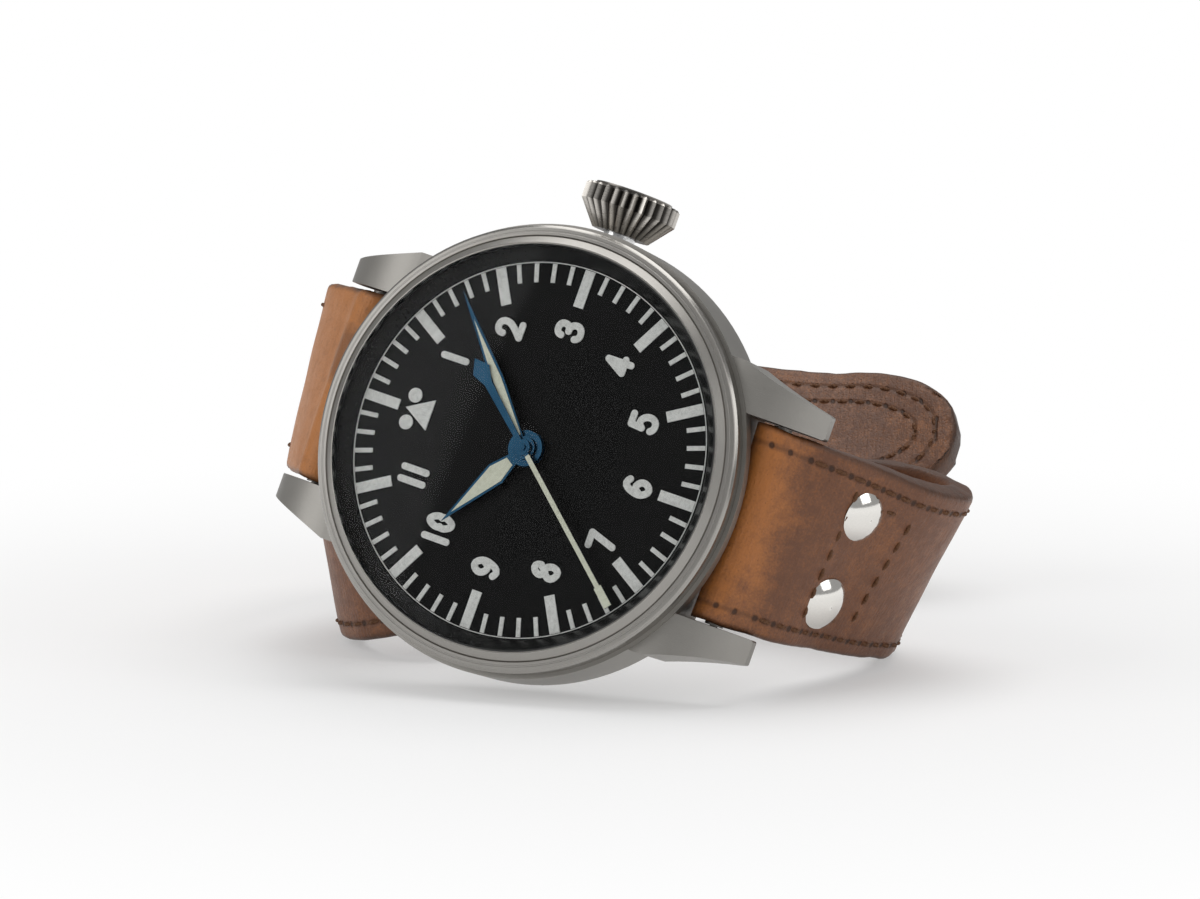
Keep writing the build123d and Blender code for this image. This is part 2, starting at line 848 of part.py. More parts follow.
# Places of the wheels, from their sizes
barrel_at = polar(barrel_r + centre_pinion_r + gear_gap, barrel_angle)
third_at = polar(centre_wheel_r + third_pinion_r + gear_gap, third_angle)
escape_at = polar(seconds_wheel_r + escape_pinion_r + gear_gap, escape_angle)
pallet_step = polar(pallet_reach, pallet_angle)
pallet_at = (escape_at[0] + pallet_step[0], escape_at[1] + pallet_step[1])
balance_step = polar(balance_reach, balance_angle)
balance_at = (pallet_at[0] + balance_step[0], pallet_at[1] + balance_step[1])
third_wheel_r = centre_wheel_r + third_pinion_r - seconds_pinion_r
motion_reach = cannon_r * (1 + minute_wheel_share) + gear_gap
minute_wheel_r = cannon_r * minute_wheel_share
hour_pinion_r = (motion_reach - gear_gap) / (1 + hour_pinion_share)
hour_wheel_r = hour_pinion_r * hour_pinion_share
minute_wheel_at = polar(motion_reach, 150)
crown_wheel_at = (crown_wheel_x, 0)
reach_x = barrel_at[0] - crown_wheel_x
ratchet_r = hypot(reach_x, barrel_at[1]) - crown_wheel_r - gear_gap

# Heights of the wheels between the mainplate and the bridges
centre_high = main_low - pinion_gap
centre_low = centre_high - wheel_t
barrel_high = centre_low - pinion_gap
barrel_low = barrel_high - barrel_h
third_high = barrel_low + 2.5 * wheel_t
third_low = third_high - wheel_t
seconds_high = barrel_low - wheel_t
seconds_low = seconds_high - wheel_t
escape_high = barrel_high - wheel_t
escape_low = escape_high - wheel_t
pallet_high = escape_high
pallet_low = escape_low
balance_high = third_high + wheel_t
balance_low = balance_high - balance_t
winding_high = bridge_low - gear_gap / 2
winding_low = winding_high - 2 * wheel_t

def bridge_screw_places(start, end):
    """Two screws near the rim of a bridge."""
    inset = main_r - 1.8 * screw_head_r
    return [polar(inset, start + bridge_split), polar(inset, end - bridge_split)]


barrel_span = (-28, 128)
train_span = (132, 262)
cock_span = (266, 320)
spans = (barrel_span, train_span, cock_span)
screw_places = [place for span in spans for place in bridge_screw_places(*span)]

with BuildPart() as mainplate:
    disc(main_r, main_low, main_top)
    for place in screw_places:
        disc(screw_r, main_low, main_low + jewel_t, place, Mode.SUBTRACT)
    hole(centre_arbor_r + tube_clear, main_low, main_top)
    for place in (barrel_at, third_at, escape_at, pallet_at, balance_at):
        hole(jewel_r, main_low, main_top, place)
    hole(shaft_r + pin_clear, main_low, main_top, minute_wheel_at)
    for turn in (95, 275):
        hole(dial_foot_r + pin_clear, main_low, main_top, polar(dial_foot_at, turn))
    slot_start = sliding_pinion_start - sliding_travel - pinion_gap
    slot_long = winding_pinion_end + pinion_gap - slot_start
    with Locations((slot_start + slot_long / 2, 0, main_low)):
        Box(slot_long, 2 * (winding_pinion_r + pinion_gap), 3 * main_t, mode=Mode.SUBTRACT)
keep(mainplate, "mainplate")


def sector(start, end, outer, inner=0):
    """A flat sector between two angles, as a wedge of a disc."""
    steps = max(2, round((end - start) / 10))
    turns = [start + (end - start) * step / steps for step in range(steps + 1)]
    points = [polar(outer, turn) for turn in turns]
    if inner:
        points += [polar(inner, turn) for turn in reversed(turns)]
    else:
        points.append((0, 0))
    with BuildLine() as edge:
        Polyline(*points, close=True)
    make_face(edge.line.edges())


def bridge(start, end, inner=0):
    """A bridge plate over a sector of the movement, with a foot at its rim."""
    outer = main_r - ring_clear
    with BuildSketch(Plane.XY.offset(bridge_low)) as plate:
        sector(start, end, outer, inner)
    extrude(plate.sketch, amount=bridge_t)
    with BuildSketch(Plane.XY.offset(bridge_top)) as foot:
        sector(start, end, outer, outer - bridge_foot_w)
    extrude(foot.sketch, amount=bridge_lift)


with BuildPart() as barrel_bridge:
    bridge(*barrel_span, 3 * tooth_deep + hairspring_out)
    hole(barrel_arbor_r + pin_clear, bridge_low, bridge_top, barrel_at)
    hole(screw_head_r, bridge_low, bridge_top, crown_wheel_at)
    with Locations((slot_start + slot_long / 2, 0, bridge_top)):
        Box(slot_long, 2 * (winding_pinion_r + pinion_gap), 3 * bridge_t, mode=Mode.SUBTRACT)
    along_x(stem_r + 4 * stem_clear, main_r - overrun, case_r, stem_z, Mode.SUBTRACT)
    for place in bridge_screw_places(*barrel_span):
        hole(screw_r, bridge_low, bridge_top, place)
keep(barrel_bridge, "barrel_bridge")

with BuildPart() as train_bridge:
    bridge(*train_span, 3 * tooth_deep)
    disc(1.6 * jewel_r + 4 * tooth_deep, bridge_low, bridge_top)
    with BuildSketch(Plane.XY.offset(bridge_low)) as arm:
        sector(train_span[1] - bridge_split, escape_angle + 3 * bridge_split,
               escape_at[1] * -1.45, 3 * tooth_deep)
    extrude(arm.sketch, amount=bridge_t)
    for place in ((0, 0), third_at, escape_at):
        hole(jewel_r, bridge_low, bridge_top, place)
    for place in bridge_screw_places(*train_span):
        hole(screw_r, bridge_low, bridge_top, place)
keep(train_bridge, "train_bridge")

with BuildPart() as balance_cock:
    bridge(*cock_span, -1.6 * escape_at[1])
    hole(jewel_r, bridge_low, bridge_top, balance_at)
    for place in bridge_screw_places(*cock_span):
        hole(screw_r, bridge_low, bridge_top, place)
keep(balance_cock, "balance_cock")

with BuildPart() as bridge_screws:
    for place in screw_places:
        screw(bridge_low - screw_head_t, main_low + jewel_t, place)
keep(bridge_screws, "bridge_screws")

# Jewels in the mainplate and the bridges
with BuildPart() as jewels:
    for place in (third_at, escape_at, pallet_at, balance_at):
        disc(jewel_r, main_low, main_low + jewel_t, place)
        hole(pivot_r + pin_clear, main_low, main_low, place)
    for place in ((0, 0), third_at, escape_at, balance_at):
        disc(jewel_r, bridge_top - jewel_t, bridge_top, place)
        disc(pivot_r + pin_clear, bridge_top - jewel_t, bridge_top, place, Mode.SUBTRACT)
keep(jewels, "jewels")


def arbor(at, low, high):
    """A shaft with thin pivots in the jewels at both ends."""
    disc(shaft_r, bridge_top + pin_clear, main_low - pin_clear, at)
    disc(pivot_r, low, high, at)


# Going train
with BuildPart() as centre_wheel:
    gear(centre_wheel_r, centre_low, centre_high)
    gear(centre_pinion_r, barrel_low + 4 * wheel_t, centre_low)
    disc(centre_arbor_r, centre_high, main_top + main_gap / 2)
    disc(centre_bore_r, barrel_low, main_top + main_gap, (0, 0), Mode.SUBTRACT)
keep(centre_wheel, "centre_wheel")

with BuildPart() as third_wheel:
    gear(third_wheel_r, third_low, third_high, third_at)
    gear(third_pinion_r, centre_low - wheel_t, centre_high, third_at)
    arbor(third_at, bridge_top - jewel_t, main_low + jewel_t)
keep(third_wheel, "third_wheel")

with BuildPart() as seconds_wheel:
    gear(seconds_wheel_r, seconds_low, seconds_high)
    gear(seconds_pinion_r, seconds_high, third_high)
    disc(seconds_arbor_r, seconds_low, seconds_hand_z)
    disc(pivot_r, bridge_top - jewel_t, seconds_low)
keep(seconds_wheel, "seconds_wheel")

with BuildPart() as escape_wheel:
    gear(escape_wheel_r, escape_low, escape_high, escape_at)
    gear(escape_pinion_r, seconds_low, seconds_high, escape_at)
    arbor(escape_at, bridge_top - jewel_t, main_low + jewel_t)
keep(escape_wheel, "escape_wheel")

with BuildPart() as pallet_fork:
    away = atan2(escape_at[1] - pallet_at[1], escape_at[0] - pallet_at[0])
    fork_plane = Plane(
        origin=(*pallet_at, pallet_low), x_dir=(cos(away), sin(away), 0), z_dir=(0, 0, 1)
    )
    with BuildSketch(fork_plane) as fork:
        Rectangle(2 * shaft_r, 4 * jewel_r)
        with Locations((-balance_reach / 4, 0)):
            Rectangle(balance_reach / 2, shaft_r)
    extrude(fork.sketch, amount=wheel_t)
    disc(shaft_r, balance_high + pin_clear, main_low - pin_clear, pallet_at)
    disc(pivot_r, main_low - pin_clear, main_low + jewel_t, pallet_at)
keep(pallet_fork, "pallet_fork")

with BuildPart() as balance_wheel:
    disc(balance_r, balance_low, balance_high, balance_at)
    disc(balance_r - balance_rim, balance_low, balance_high, balance_at, Mode.SUBTRACT)
    with Locations((*balance_at, (balance_low + balance_high) / 2)):
        Box(2 * balance_r - balance_rim, balance_rim, balance_t)
        Cylinder(2 * shaft_r, balance_t)
    arbor(balance_at, bridge_top - jewel_t, main_low + jewel_t)
keep(balance_wheel, "balance_wheel")


def spiral(at, inner, outer, turns):
    """A flat spiral of half turns about a centre, each a little wider."""
    halves = 2 * turns
    grow = (outer - inner) / halves
    radii = [inner + grow * number for number in range(halves + 1)]
    left = 1
    start = (at[0] + radii[0], at[1])
    for number in range(halves):
        far = (at[0] - left * radii[number + 1], at[1])
        middle_r = (radii[number] + radii[number + 1]) / 2
        middle = ((start[0] + far[0]) / 2, at[1] + left * middle_r)
        ThreePointArc(start, middle, far)
        start = far
        left = -left


def coil_spring(at, inner, outer, turns, strip, low, high):
    """A strip wound in a flat spiral."""
    with BuildLine() as run:
        spiral(at, inner, outer, turns)
    with BuildSketch() as ribbon:
        trace(run.line, line_width=strip)
    flat = ribbon.sketch.moved(Location((0, 0, low)))
    extrude(flat, amount=high - low)


with BuildPart() as balance_spring:
    spring_high = balance_low - wheel_t
    coil_spring(
        balance_at, hairspring_in, hairspring_out, hairspring_turns,
        hairspring_strip, spring_high - hairspring_t, spring_high,
    )
keep(balance_spring, "balance_spring")

with BuildPart() as barrel:
    gear(barrel_r, barrel_low, barrel_high, barrel_at)
    inner_r = barrel_r - tooth_deep - barrel_wall
    disc(inner_r, barrel_low + wheel_t, barrel_high - wheel_t, barrel_at, Mode.SUBTRACT)
    disc(barrel_arbor_r + pin_clear, barrel_low - wheel_t, barrel_high + wheel_t,
         barrel_at, Mode.SUBTRACT)
keep(barrel, "barrel")

with BuildPart() as barrel_arbor:
    disc(barrel_arbor_r, winding_low, barrel_high, barrel_at)
    disc(jewel_r - pin_clear, barrel_high, main_low + jewel_t, barrel_at)
keep(barrel_arbor, "barrel_arbor")

with BuildPart() as mainspring:
    coil_spring(
        barrel_at, spring_in, inner_r - spring_strip, spring_turns, spring_strip,
        barrel_low + 2 * wheel_t, barrel_high - 2 * wheel_t,
    )
keep(mainspring, "mainspring")

with BuildPart() as ratchet_wheel:
    gear(ratchet_r, winding_low, winding_high, barrel_at)
    disc(barrel_arbor_r, winding_low, winding_high, barrel_at, Mode.SUBTRACT)
keep(ratchet_wheel, "ratchet_wheel")

with BuildPart() as crown_wheel:
    gear(crown_wheel_r, winding_low, winding_high, crown_wheel_at)
    boss_high = bridge_low + bridge_t / 2
    disc(screw_head_r - pin_clear, winding_high, boss_high, crown_wheel_at)
keep(crown_wheel, "crown_wheel")

with BuildPart() as click:
    click_reach = ratchet_r + click_r + 2 * gear_gap
    click_step = polar(click_reach, click_angle)
    click_at = (barrel_at[0] + click_step[0], barrel_at[1] + click_step[1])
    disc(click_r, winding_low, winding_high, click_at)
    click_plane = Plane(
        origin=(*click_at, winding_low), x_dir=(*polar(1, click_angle + 90), 0),
        z_dir=(0, 0, 1),
    )
    with BuildSketch(click_plane) as click_arm:
        with Locations((click_long / 2, 0)):
            Rectangle(click_long, click_r)
    extrude(click_arm.sketch, amount=2 * wheel_t)
keep(click, "click")

# Motion works between the mainplate and the dial
motion_low = main_top + gear_gap / 2
motion_step = 1.4 * wheel_t
with BuildPart() as cannon_pinion:
    gear(cannon_r, motion_low, motion_low + motion_step)
    disc(cannon_tube_r, motion_low, minute_hand_z + hand_t)
    hole(centre_arbor_r, motion_low, minute_hand_z)
keep(cannon_pinion, "cannon_pinion")

hour_wheel_low = motion_low + motion_step + gear_gap
with BuildPart() as minute_wheel:
    gear(minute_wheel_r, motion_low, motion_low + motion_step, minute_wheel_at)
    gear(hour_pinion_r, motion_low, hour_wheel_low + motion_step, minute_wheel_at)
    disc(shaft_r, main_low, motion_low, minute_wheel_at)
keep(minute_wheel, "minute_wheel")

with BuildPart() as hour_wheel:
    gear(hour_wheel_r, hour_wheel_low, hour_wheel_low + motion_step)
    disc(hour_tube_r, hour_wheel_low, hour_hand_z + hand_t)
    hole(cannon_tube_r + tube_clear, hour_wheel_low, hour_hand_z)
keep(hour_wheel, "hour_wheel")


# The strap follows a run of short steps. Each span has its share of the length,
# the bend about the strap's width, the twist about its own direction and the
# sway within its own surface.
tail_shares = [(0.125, -13.5, -6.0, 0.5), (0.125, -21.5, -1.5, 0.0),
               (0.125, -8.5, 0.0, 0.0), (0.125, -57.0, -7.0, 0.0),
               (0.125, -16.0, -13.0, 0.0), (0.125, 0.0, -14.0, 0.5),
               (0.125, -9.0, -9.5, 0.5), (0.125, -10.5, 7.0, 0.5)]
buckle_shares = [(0.040, 22.5, 3.0, 1.0), (0.040, 21.0, 6.5, 0.5),
                 (0.048, -3.5, 9.0, 0.0), (0.056, 16.0, 1.0, -0.5),
                 (0.064, 49.5, -9.5, -9.25), (0.072, 20.0, -25.25, -10.0),
                 (0.088, 16.0, -5.25, 4.25), (0.104, 15.0, 4.5, 3.5),
                 (0.112, 12.75, 7.25, 0.0), (0.112, 37.5, -1.0, -8.0),
                 (0.096, 49.25, 4.0, -0.75), (0.056, 40.75, 0.75, 2.25),
                 (0.056, 60.0, -10.25, 3.5), (0.056, 59.0, -8.0, 3.75)]


def strap_run(side, slope, long, shares):
    """Planes along a strap: X across it, Y along it, Z through it."""
    at = Vector(0, side * bar_y, bar_z)
    ahead = Vector(0, side * cos(radians(slope)), -sin(radians(slope)))
    across = Vector(1, 0, 0)
    done = 0.0
    run = [(done, at, ahead, across)]
    for share, bend, twist, sway in shares:
        span = share * long
        steps = max(2, round(max(span / step_long, abs(bend) / 9)))
        for _ in range(steps):
            ahead = ahead.rotate(Axis((0, 0, 0), across), bend / steps)
            across = across.rotate(Axis((0, 0, 0), ahead), twist / steps)
            outward = Axis((0, 0, 0), ahead.cross(across))
            ahead = ahead.rotate(outward, sway / steps)
            across = across.rotate(outward, sway / steps)
            at = at + ahead * (span / steps)
            done += span / steps
            run.append((done, at, ahead, across))
    return run


def run_plane(run, where, side):
    """The plane on the strap's middle surface at a distance from the bar."""
    for first, last in zip(run, run[1:]):
        if where <= last[0]:
            break
    share = (where - first[0]) / (last[0] - first[0])
    share = min(max(share, 0), 1)
    at = first[1] + (last[1] - first[1]) * share
    ahead = (first[2] + (last[2] - first[2]) * share).normalized()
    across = (first[3] + (last[3] - first[3]) * share).normalized()
    outward = across.cross(ahead) * side
    return Plane(origin=at, x_dir=across * side, z_dir=outward)


def strap_section(run, place, width, thick):
    """A flat cross-section of the strap, square to its run."""
    at, ahead, across = run[place][1:]
    with BuildSketch(Plane(origin=at, x_dir=across, z_dir=ahead)) as section:
        Rectangle(width, thick)
    return section.sketch


def strap_band(run, widths):
    """The band from one section to the next."""
    sections = []
    for place, width in enumerate(widths):
        sections.append(strap_section(run, place, width, strap_t))
    loft(sections, ruled=True)


def steady_width(run, end_width):
    """Widths along a strap that narrows evenly from just inside its fold."""
    total = run[-1][0]
    start = strap_root_w - 2 * bar_fit
    return [start + (end_width - start) * entry[0] / total for entry in run]


tail_run = strap_run(1, tail_start_slope, tail_long, tail_shares)
buckle_run = strap_run(-1, buckle_start_slope, buckle_long, buckle_shares)


def bar_fold(side):
    """The fold round the spring bar."""
    half = strap_root_w / 2
    with Locations(Location((-half, side * bar_y, bar_z), (0, 90, 0))):
        Cylinder(fold_r, 2 * half, align=UP)


def bar_bore(side):
    """The hole for the spring bar in the fold."""
    half = strap_root_w / 2 + overrun
    with Locations(Location((-half, side * bar_y, bar_z), (0, 90, 0))):
        Cylinder(bar_r + bar_fit, 2 * half, align=UP, mode=Mode.SUBTRACT)


# Long strap piece at twelve, with a rounded point and a row of holes
with BuildPart() as strap_tail:
    widths = steady_width(tail_run, strap_tip_w)
    for place, entry in enumerate(tail_run):
        left = tail_long - entry[0]
        if left < tail_taper:
            share = 1 - left / tail_taper
            round_off = sqrt(max(1 - share * share, 0))
            widths[place] = tail_end_w + (widths[place] - tail_end_w) * round_off
    strap_band(tail_run, widths)
    bar_fold(1)
    bar_bore(1)
    for number in range(5):
        plane = run_plane(tail_run, tail_long - hole_first - number * hole_pitch, 1)
        with Locations(plane.location):
            Cylinder(hole_r, 3 * strap_t, mode=Mode.SUBTRACT)
keep(strap_tail, "strap_tail")

# Rivets through the folded end of the buckle piece
rivet_plane = run_plane(buckle_run, rivet_run, -1)
with BuildPart() as rivet:
    face = strap_t / 2
    ball_r = (rivet_r * rivet_r + rivet_rise * rivet_rise) / (2 * rivet_rise)
    with Locations((0, 0, face + rivet_rise - ball_r)):
        Sphere(ball_r)
    split(bisect_by=Plane.XY.offset(face), keep=Keep.TOP)
    disc(rivet_shank_r, -face, face)
    disc(rivet_back_r, -face - rivet_back_t, -face)

with BuildPart() as rivets:
    for side in (1, -1):
        centre = rivet_plane.origin + rivet_plane.x_dir * (side * rivet_spread / 2)
        seat = Plane(origin=centre, x_dir=rivet_plane.x_dir, z_dir=rivet_plane.z_dir)
        with Locations(seat.location):
            add(rivet.part)
keep(rivets, "rivets")

buckle_plane = run_plane(buckle_run, buckle_long, -1)


def across_bar(plane, radius, long, mode=Mode.ADD):
    """A round bar across the strap at a plane's middle."""
    with Locations(Plane(origin=plane.origin, x_dir=plane.y_dir, z_dir=plane.x_dir).location):
        Cylinder(radius, long, mode=mode)


# Short strap piece at six, folded round the buckle's bar at its end
with BuildPart() as strap_buckle_side:
    strap_band(buckle_run, steady_width(buckle_run, strap_buckle_w))
    bar_fold(-1)
    across_bar(buckle_plane, buckle_fold_r, strap_buckle_w - 2 * bar_fit)
    bar_bore(-1)
    across_bar(buckle_plane, buckle_bar_r + bar_fit, 2 * strap_buckle_w, Mode.SUBTRACT)
    with Locations(buckle_plane.location):
        Box(buckle_notch_w, 2 * buckle_notch_long, 3 * strap_t, mode=Mode.SUBTRACT)
    add(rivets.part, mode=Mode.SUBTRACT)
keep(strap_buckle_side, "strap_buckle_side")


def keeper(where):
    """A flat leather loop round the strap, with room for the other piece."""
    plane = run_plane(buckle_run, where, -1)
    share = where / buckle_long
    width = strap_root_w + (strap_buckle_w - strap_root_w) * share
    room_w = width + 2 * keeper_gap
    room_h = strap_t + 2 * keeper_gap + keeper_room
    lift = keeper_room / 2
    middle = plane.origin - plane.y_dir * (keeper_w / 2) + plane.z_dir * lift
    section = Plane(origin=middle, x_dir=plane.x_dir, z_dir=plane.y_dir)
    with BuildSketch(section) as loop:
        Rectangle(room_w + 2 * keeper_wall, room_h + 2 * keeper_wall)
        Rectangle(room_w, room_h, mode=Mode.SUBTRACT)
    extrude(loop.sketch, amount=keeper_w)


with BuildPart() as fixed_keeper:
    keeper(fixed_keeper_run)
keep(fixed_keeper, "fixed_keeper")

with BuildPart() as free_keeper:
    keeper(free_keeper_run)
keep(free_keeper, "free_keeper")

# Buckle: a bent wire frame, its bar and its tongue
frame_half = strap_buckle_w / 2 + buckle_side_gap + buckle_wire_r
with BuildPart() as buckle_frame:
    with BuildLine(buckle_plane) as frame_run:
        Polyline(
            (frame_half, -buckle_wire_r),
            (frame_half, buckle_reach),
            (-frame_half, buckle_reach),
            (-frame_half, -buckle_wire_r),
        )
        fillet(frame_run.vertices().group_by(Axis(buckle_plane.origin, buckle_plane.y_dir))[-1],
               2 * buckle_wire_r)
    start = buckle_plane.origin + buckle_plane.x_dir * frame_half
    start = start - buckle_plane.y_dir * buckle_wire_r
    with BuildSketch(Plane(origin=start, x_dir=buckle_plane.x_dir, z_dir=buckle_plane.y_dir)):
        Circle(buckle_wire_r)
    sweep(path=frame_run.line)
    across_bar(buckle_plane, buckle_bar_r, 4 * frame_half, Mode.SUBTRACT)
keep(buckle_frame, "buckle_frame")

with BuildPart() as buckle_bar:
    across_bar(buckle_plane, buckle_bar_r, 2 * (frame_half + buckle_wire_r))
keep(buckle_bar, "buckle_bar")

with BuildPart() as buckle_tongue:
    across_bar(buckle_plane, tongue_ring_r, tongue_w)
    tongue_long = buckle_reach + buckle_wire_r / 2
    rise = tongue_ring_r - tongue_t / 2
    tongue_middle = buckle_plane.origin + buckle_plane.y_dir * (tongue_long / 2)
    tongue_middle = tongue_middle + buckle_plane.z_dir * (buckle_wire_r + tongue_t / 2 + pin_clear)
    with Locations(Plane(origin=tongue_middle, x_dir=buckle_plane.x_dir,
                         z_dir=buckle_plane.z_dir).location):
        Box(tongue_w, tongue_long, tongue_t)
    across_bar(buckle_plane, buckle_bar_r + pin_clear, 2 * tongue_w, Mode.SUBTRACT)
keep(buckle_tongue, "buckle_tongue")

# The stand: where the case frame's axes point once the watch is put down
lean = radians(dial_lean)
turned = radians(dial_turn)
tilt = radians(crown_tilt)
normal = Vector(-sin(turned) * cos(lean), -cos(turned) * cos(lean), sin(lean))
upright = (Vector(0, 0, 1) - normal * sin(lean)).normalized()
side_on = normal.cross(upright)
to_crown = upright * cos(tilt) - side_on * sin(tilt)
turned_only = Plane(origin=(0, 0, 0), x_dir=to_crown, z_dir=normal)
leaning = Compound([part.moved(turned_only.location) for part in saved.values()])
box = leaning.bounding_box()
middle_x = (box.min.X + box.max.X) / 2
middle_y = (box.min.Y + box.max.Y) / 2
stand = Plane(origin=(-middle_x, -middle_y, -box.min.Z), x_dir=to_crown, z_dir=normal)

for name, part in saved.items():
    placed = part.moved(stand.location)
    placed.label = name
    export_step(placed, f"parts/{name}.step")

print("standing size", box.size)
print("dial centre", stand.origin)
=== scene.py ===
# %% [markdown]
# # A pilot watch that stands on the edge of its case
# The imported CAD model brings the case, the dial, the hands and the whole movement, each in its place.
# Metal and glass keep those solids and get a finish. Leather and thread are soft, so their solids are
# hidden here and are made again as meshes that bend and wrinkle.

# %% Load the imported model
import json
import math

import bmesh
import bpy
from mathutils import Matrix, Quaternion, Vector, noise


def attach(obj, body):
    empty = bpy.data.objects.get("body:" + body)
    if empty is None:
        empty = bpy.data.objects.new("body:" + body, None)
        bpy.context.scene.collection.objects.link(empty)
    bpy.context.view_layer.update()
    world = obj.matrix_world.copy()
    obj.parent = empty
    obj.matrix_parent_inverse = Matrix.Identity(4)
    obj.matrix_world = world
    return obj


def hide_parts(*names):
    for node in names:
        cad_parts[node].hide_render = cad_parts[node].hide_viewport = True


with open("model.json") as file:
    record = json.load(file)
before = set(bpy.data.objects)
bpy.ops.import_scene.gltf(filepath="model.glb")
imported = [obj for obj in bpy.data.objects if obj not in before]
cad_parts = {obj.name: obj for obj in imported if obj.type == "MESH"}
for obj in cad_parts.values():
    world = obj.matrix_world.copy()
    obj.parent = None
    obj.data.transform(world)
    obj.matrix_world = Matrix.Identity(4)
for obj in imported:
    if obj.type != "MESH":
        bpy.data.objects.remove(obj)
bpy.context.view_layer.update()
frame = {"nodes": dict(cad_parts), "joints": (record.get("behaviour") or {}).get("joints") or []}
nodes = frame["nodes"]
print("pieces of the packed model:", len(nodes))

# %% [markdown]
# ## The watch's own directions
# The watch leans back and is turned, so few of its sizes run along the scene's axes. Two joints tell
# where it is: the seconds hand turns about the dial's middle, and the crown turns about the line to
# three o'clock. From them comes a matrix that takes millimetres on the watch to metres in the scene.

# %% Find the dial's middle and its three directions
joints = {joint["name"]: joint for joint in frame["joints"]}
dial_centre = Vector(joints["seconds_turn"]["pos_m"])
off_dial = Vector(joints["seconds_turn"]["axis"]).normalized()
to_crown = Vector(joints["crown_turn"]["axis"]).normalized()
to_twelve = off_dial.cross(to_crown)
mm = 0.001
watch = Matrix.Translation(dial_centre) @ Matrix((to_crown, to_twelve, off_dial)).transposed().to_4x4()
watch = watch @ Matrix.Scale(mm, 4)
print("dial centre", tuple(round(c, 4) for c in dial_centre))

# %% [markdown]
# ## The camera
# The photograph was taken from far away with a long lens, a little above the watch, so its ellipses
# are nearly those of a drawing without perspective. The place of the camera was worked out from the
# dial's ring and marks, and is given from the dial's middle.

# %% Put up the camera
camera_data = bpy.data.cameras.new("camera")
camera_data.sensor_width = 36
camera_data.lens = 141.32
camera_data.clip_start = 0.01
camera = bpy.data.objects.new("camera", camera_data)
bpy.context.scene.collection.objects.link(camera)
camera.location = dial_centre + Vector((6.877, -445.335, 62.574)) * mm
camera.rotation_euler = (math.radians(82), 0, 0)
bpy.context.scene.camera = camera
print("camera at", tuple(round(c, 3) for c in camera.location))

# %% [markdown]
# ## Writing a material as sums
# A material is a net of nodes, and a net is hard to read in code. Here a wire stands for a value on
# its way from one node to the next. Adding or multiplying two wires adds the Math node for it, so a
# pattern reads like the sum that it is.

# %% Wires and finishes
class Wire:
    """A value on its way from one node to the next."""

    def __init__(self, finish, socket):
        self.finish = finish
        self.socket = socket

    def maths(self, operation, *values):
        return self.finish.node("ShaderNodeMath", {"operation": operation}, dict(enumerate(values)))

    def __add__(self, other):
        return self.maths("ADD", self, other)

    def __sub__(self, other):
        return self.maths("SUBTRACT", self, other)

    def __rsub__(self, other):
        return self.maths("SUBTRACT", other, self)

    def __mul__(self, other):
        return self.maths("MULTIPLY", self, other)

    def __truediv__(self, other):
        return self.maths("DIVIDE", self, other)

    def __pow__(self, other):
        return self.maths("POWER", self, other)

    def __abs__(self):
        return self.maths("ABSOLUTE", self)

    __radd__ = __add__
    __rmul__ = __mul__


class Finish:
    """A material in the making: it adds nodes, and joins them to its shader."""

    def __init__(self, name, **plain):
        self.material = bpy.data.materials.new(name)
        self.material.use_nodes = True
        self.tree = self.material.node_tree
        self.shader = self.tree.nodes["Principled BSDF"]
        for socket, value in plain.items():
            self.feed(socket.replace("_", " "), value)

    def plug(self, socket, value):
        if isinstance(value, Wire):
            self.tree.links.new(value.socket, socket)
        else:
            socket.default_value = value

    def feed(self, socket, value):
        self.plug(self.shader.inputs[socket], value)

    def node(self, kind, settings=None, values=None, out=0):
        made = self.tree.nodes.new(kind)
        for name, setting in (settings or {}).items():
            setattr(made, name, setting)
        for name, value in (values or {}).items():
            self.plug(made.inputs[name], value)
        return Wire(self, made.outputs[out])


def rgb(red, green, blue):
    return (red, green, blue, 1.0)


# %% [markdown]
# ## Small patterns that every finish uses
# Metal and leather differ in their patterns, not in how a pattern is made. Each one starts with where
# a point lies, runs it through a noise, and cuts or stretches the result. The helpers below do those
# steps, and their sizes are in millimetres on the watch.

# %% Pattern helpers
def watch_place(finish):
    """Where a point lies on the watch: towards the crown, towards twelve and off the dial."""
    point = finish.node("ShaderNodeTexCoord", out="Object")
    from_dial = finish.node("ShaderNodeVectorMath", {"operation": "SUBTRACT"}, {0: point, 1: dial_centre})
    return [
        finish.node("ShaderNodeVectorMath", {"operation": "DOT_PRODUCT"},
                    {0: from_dial, 1: axis / mm}, out="Value")
        for axis in (to_crown, to_twelve, off_dial)
    ]


def together(finish, x, y, z):
    return finish.node("ShaderNodeCombineXYZ", None, {"X": x, "Y": y, "Z": z})


def clouds(finish, where, scale, detail=2.0, rough=0.5):
    return finish.node("ShaderNodeTexNoise", None,
                       {"Vector": where, "Scale": scale, "Detail": detail, "Roughness": rough})


def cells(finish, where, scale):
    return finish.node("ShaderNodeTexVoronoi", None, {"Vector": where, "Scale": scale})


def rise(value, low, high):
    """From 0 at low to 1 at high, with soft ends."""
    return value.finish.node("ShaderNodeMapRange", {"interpolation_type": "SMOOTHSTEP"},
                             {"Value": value, "From Min": low, "From Max": high})


def blend(share, first, second):
    """A colour between two colours."""
    return share.finish.node("ShaderNodeMix", {"data_type": "RGBA"},
                             {0: share, 6: first, 7: second}, out=2)


def relief(height, strength=1.0):
    """A normal from a height in millimetres."""
    return height.finish.node("ShaderNodeBump", None,
                              {"Height": height, "Distance": mm, "Strength": strength})


def dress(finish, *names):
    """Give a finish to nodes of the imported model."""
    for name in names:
        mesh = nodes[name].data
        mesh.materials.clear()
        mesh.materials.append(finish.material)
    print(finish.material.name, "on", len(names), "nodes")


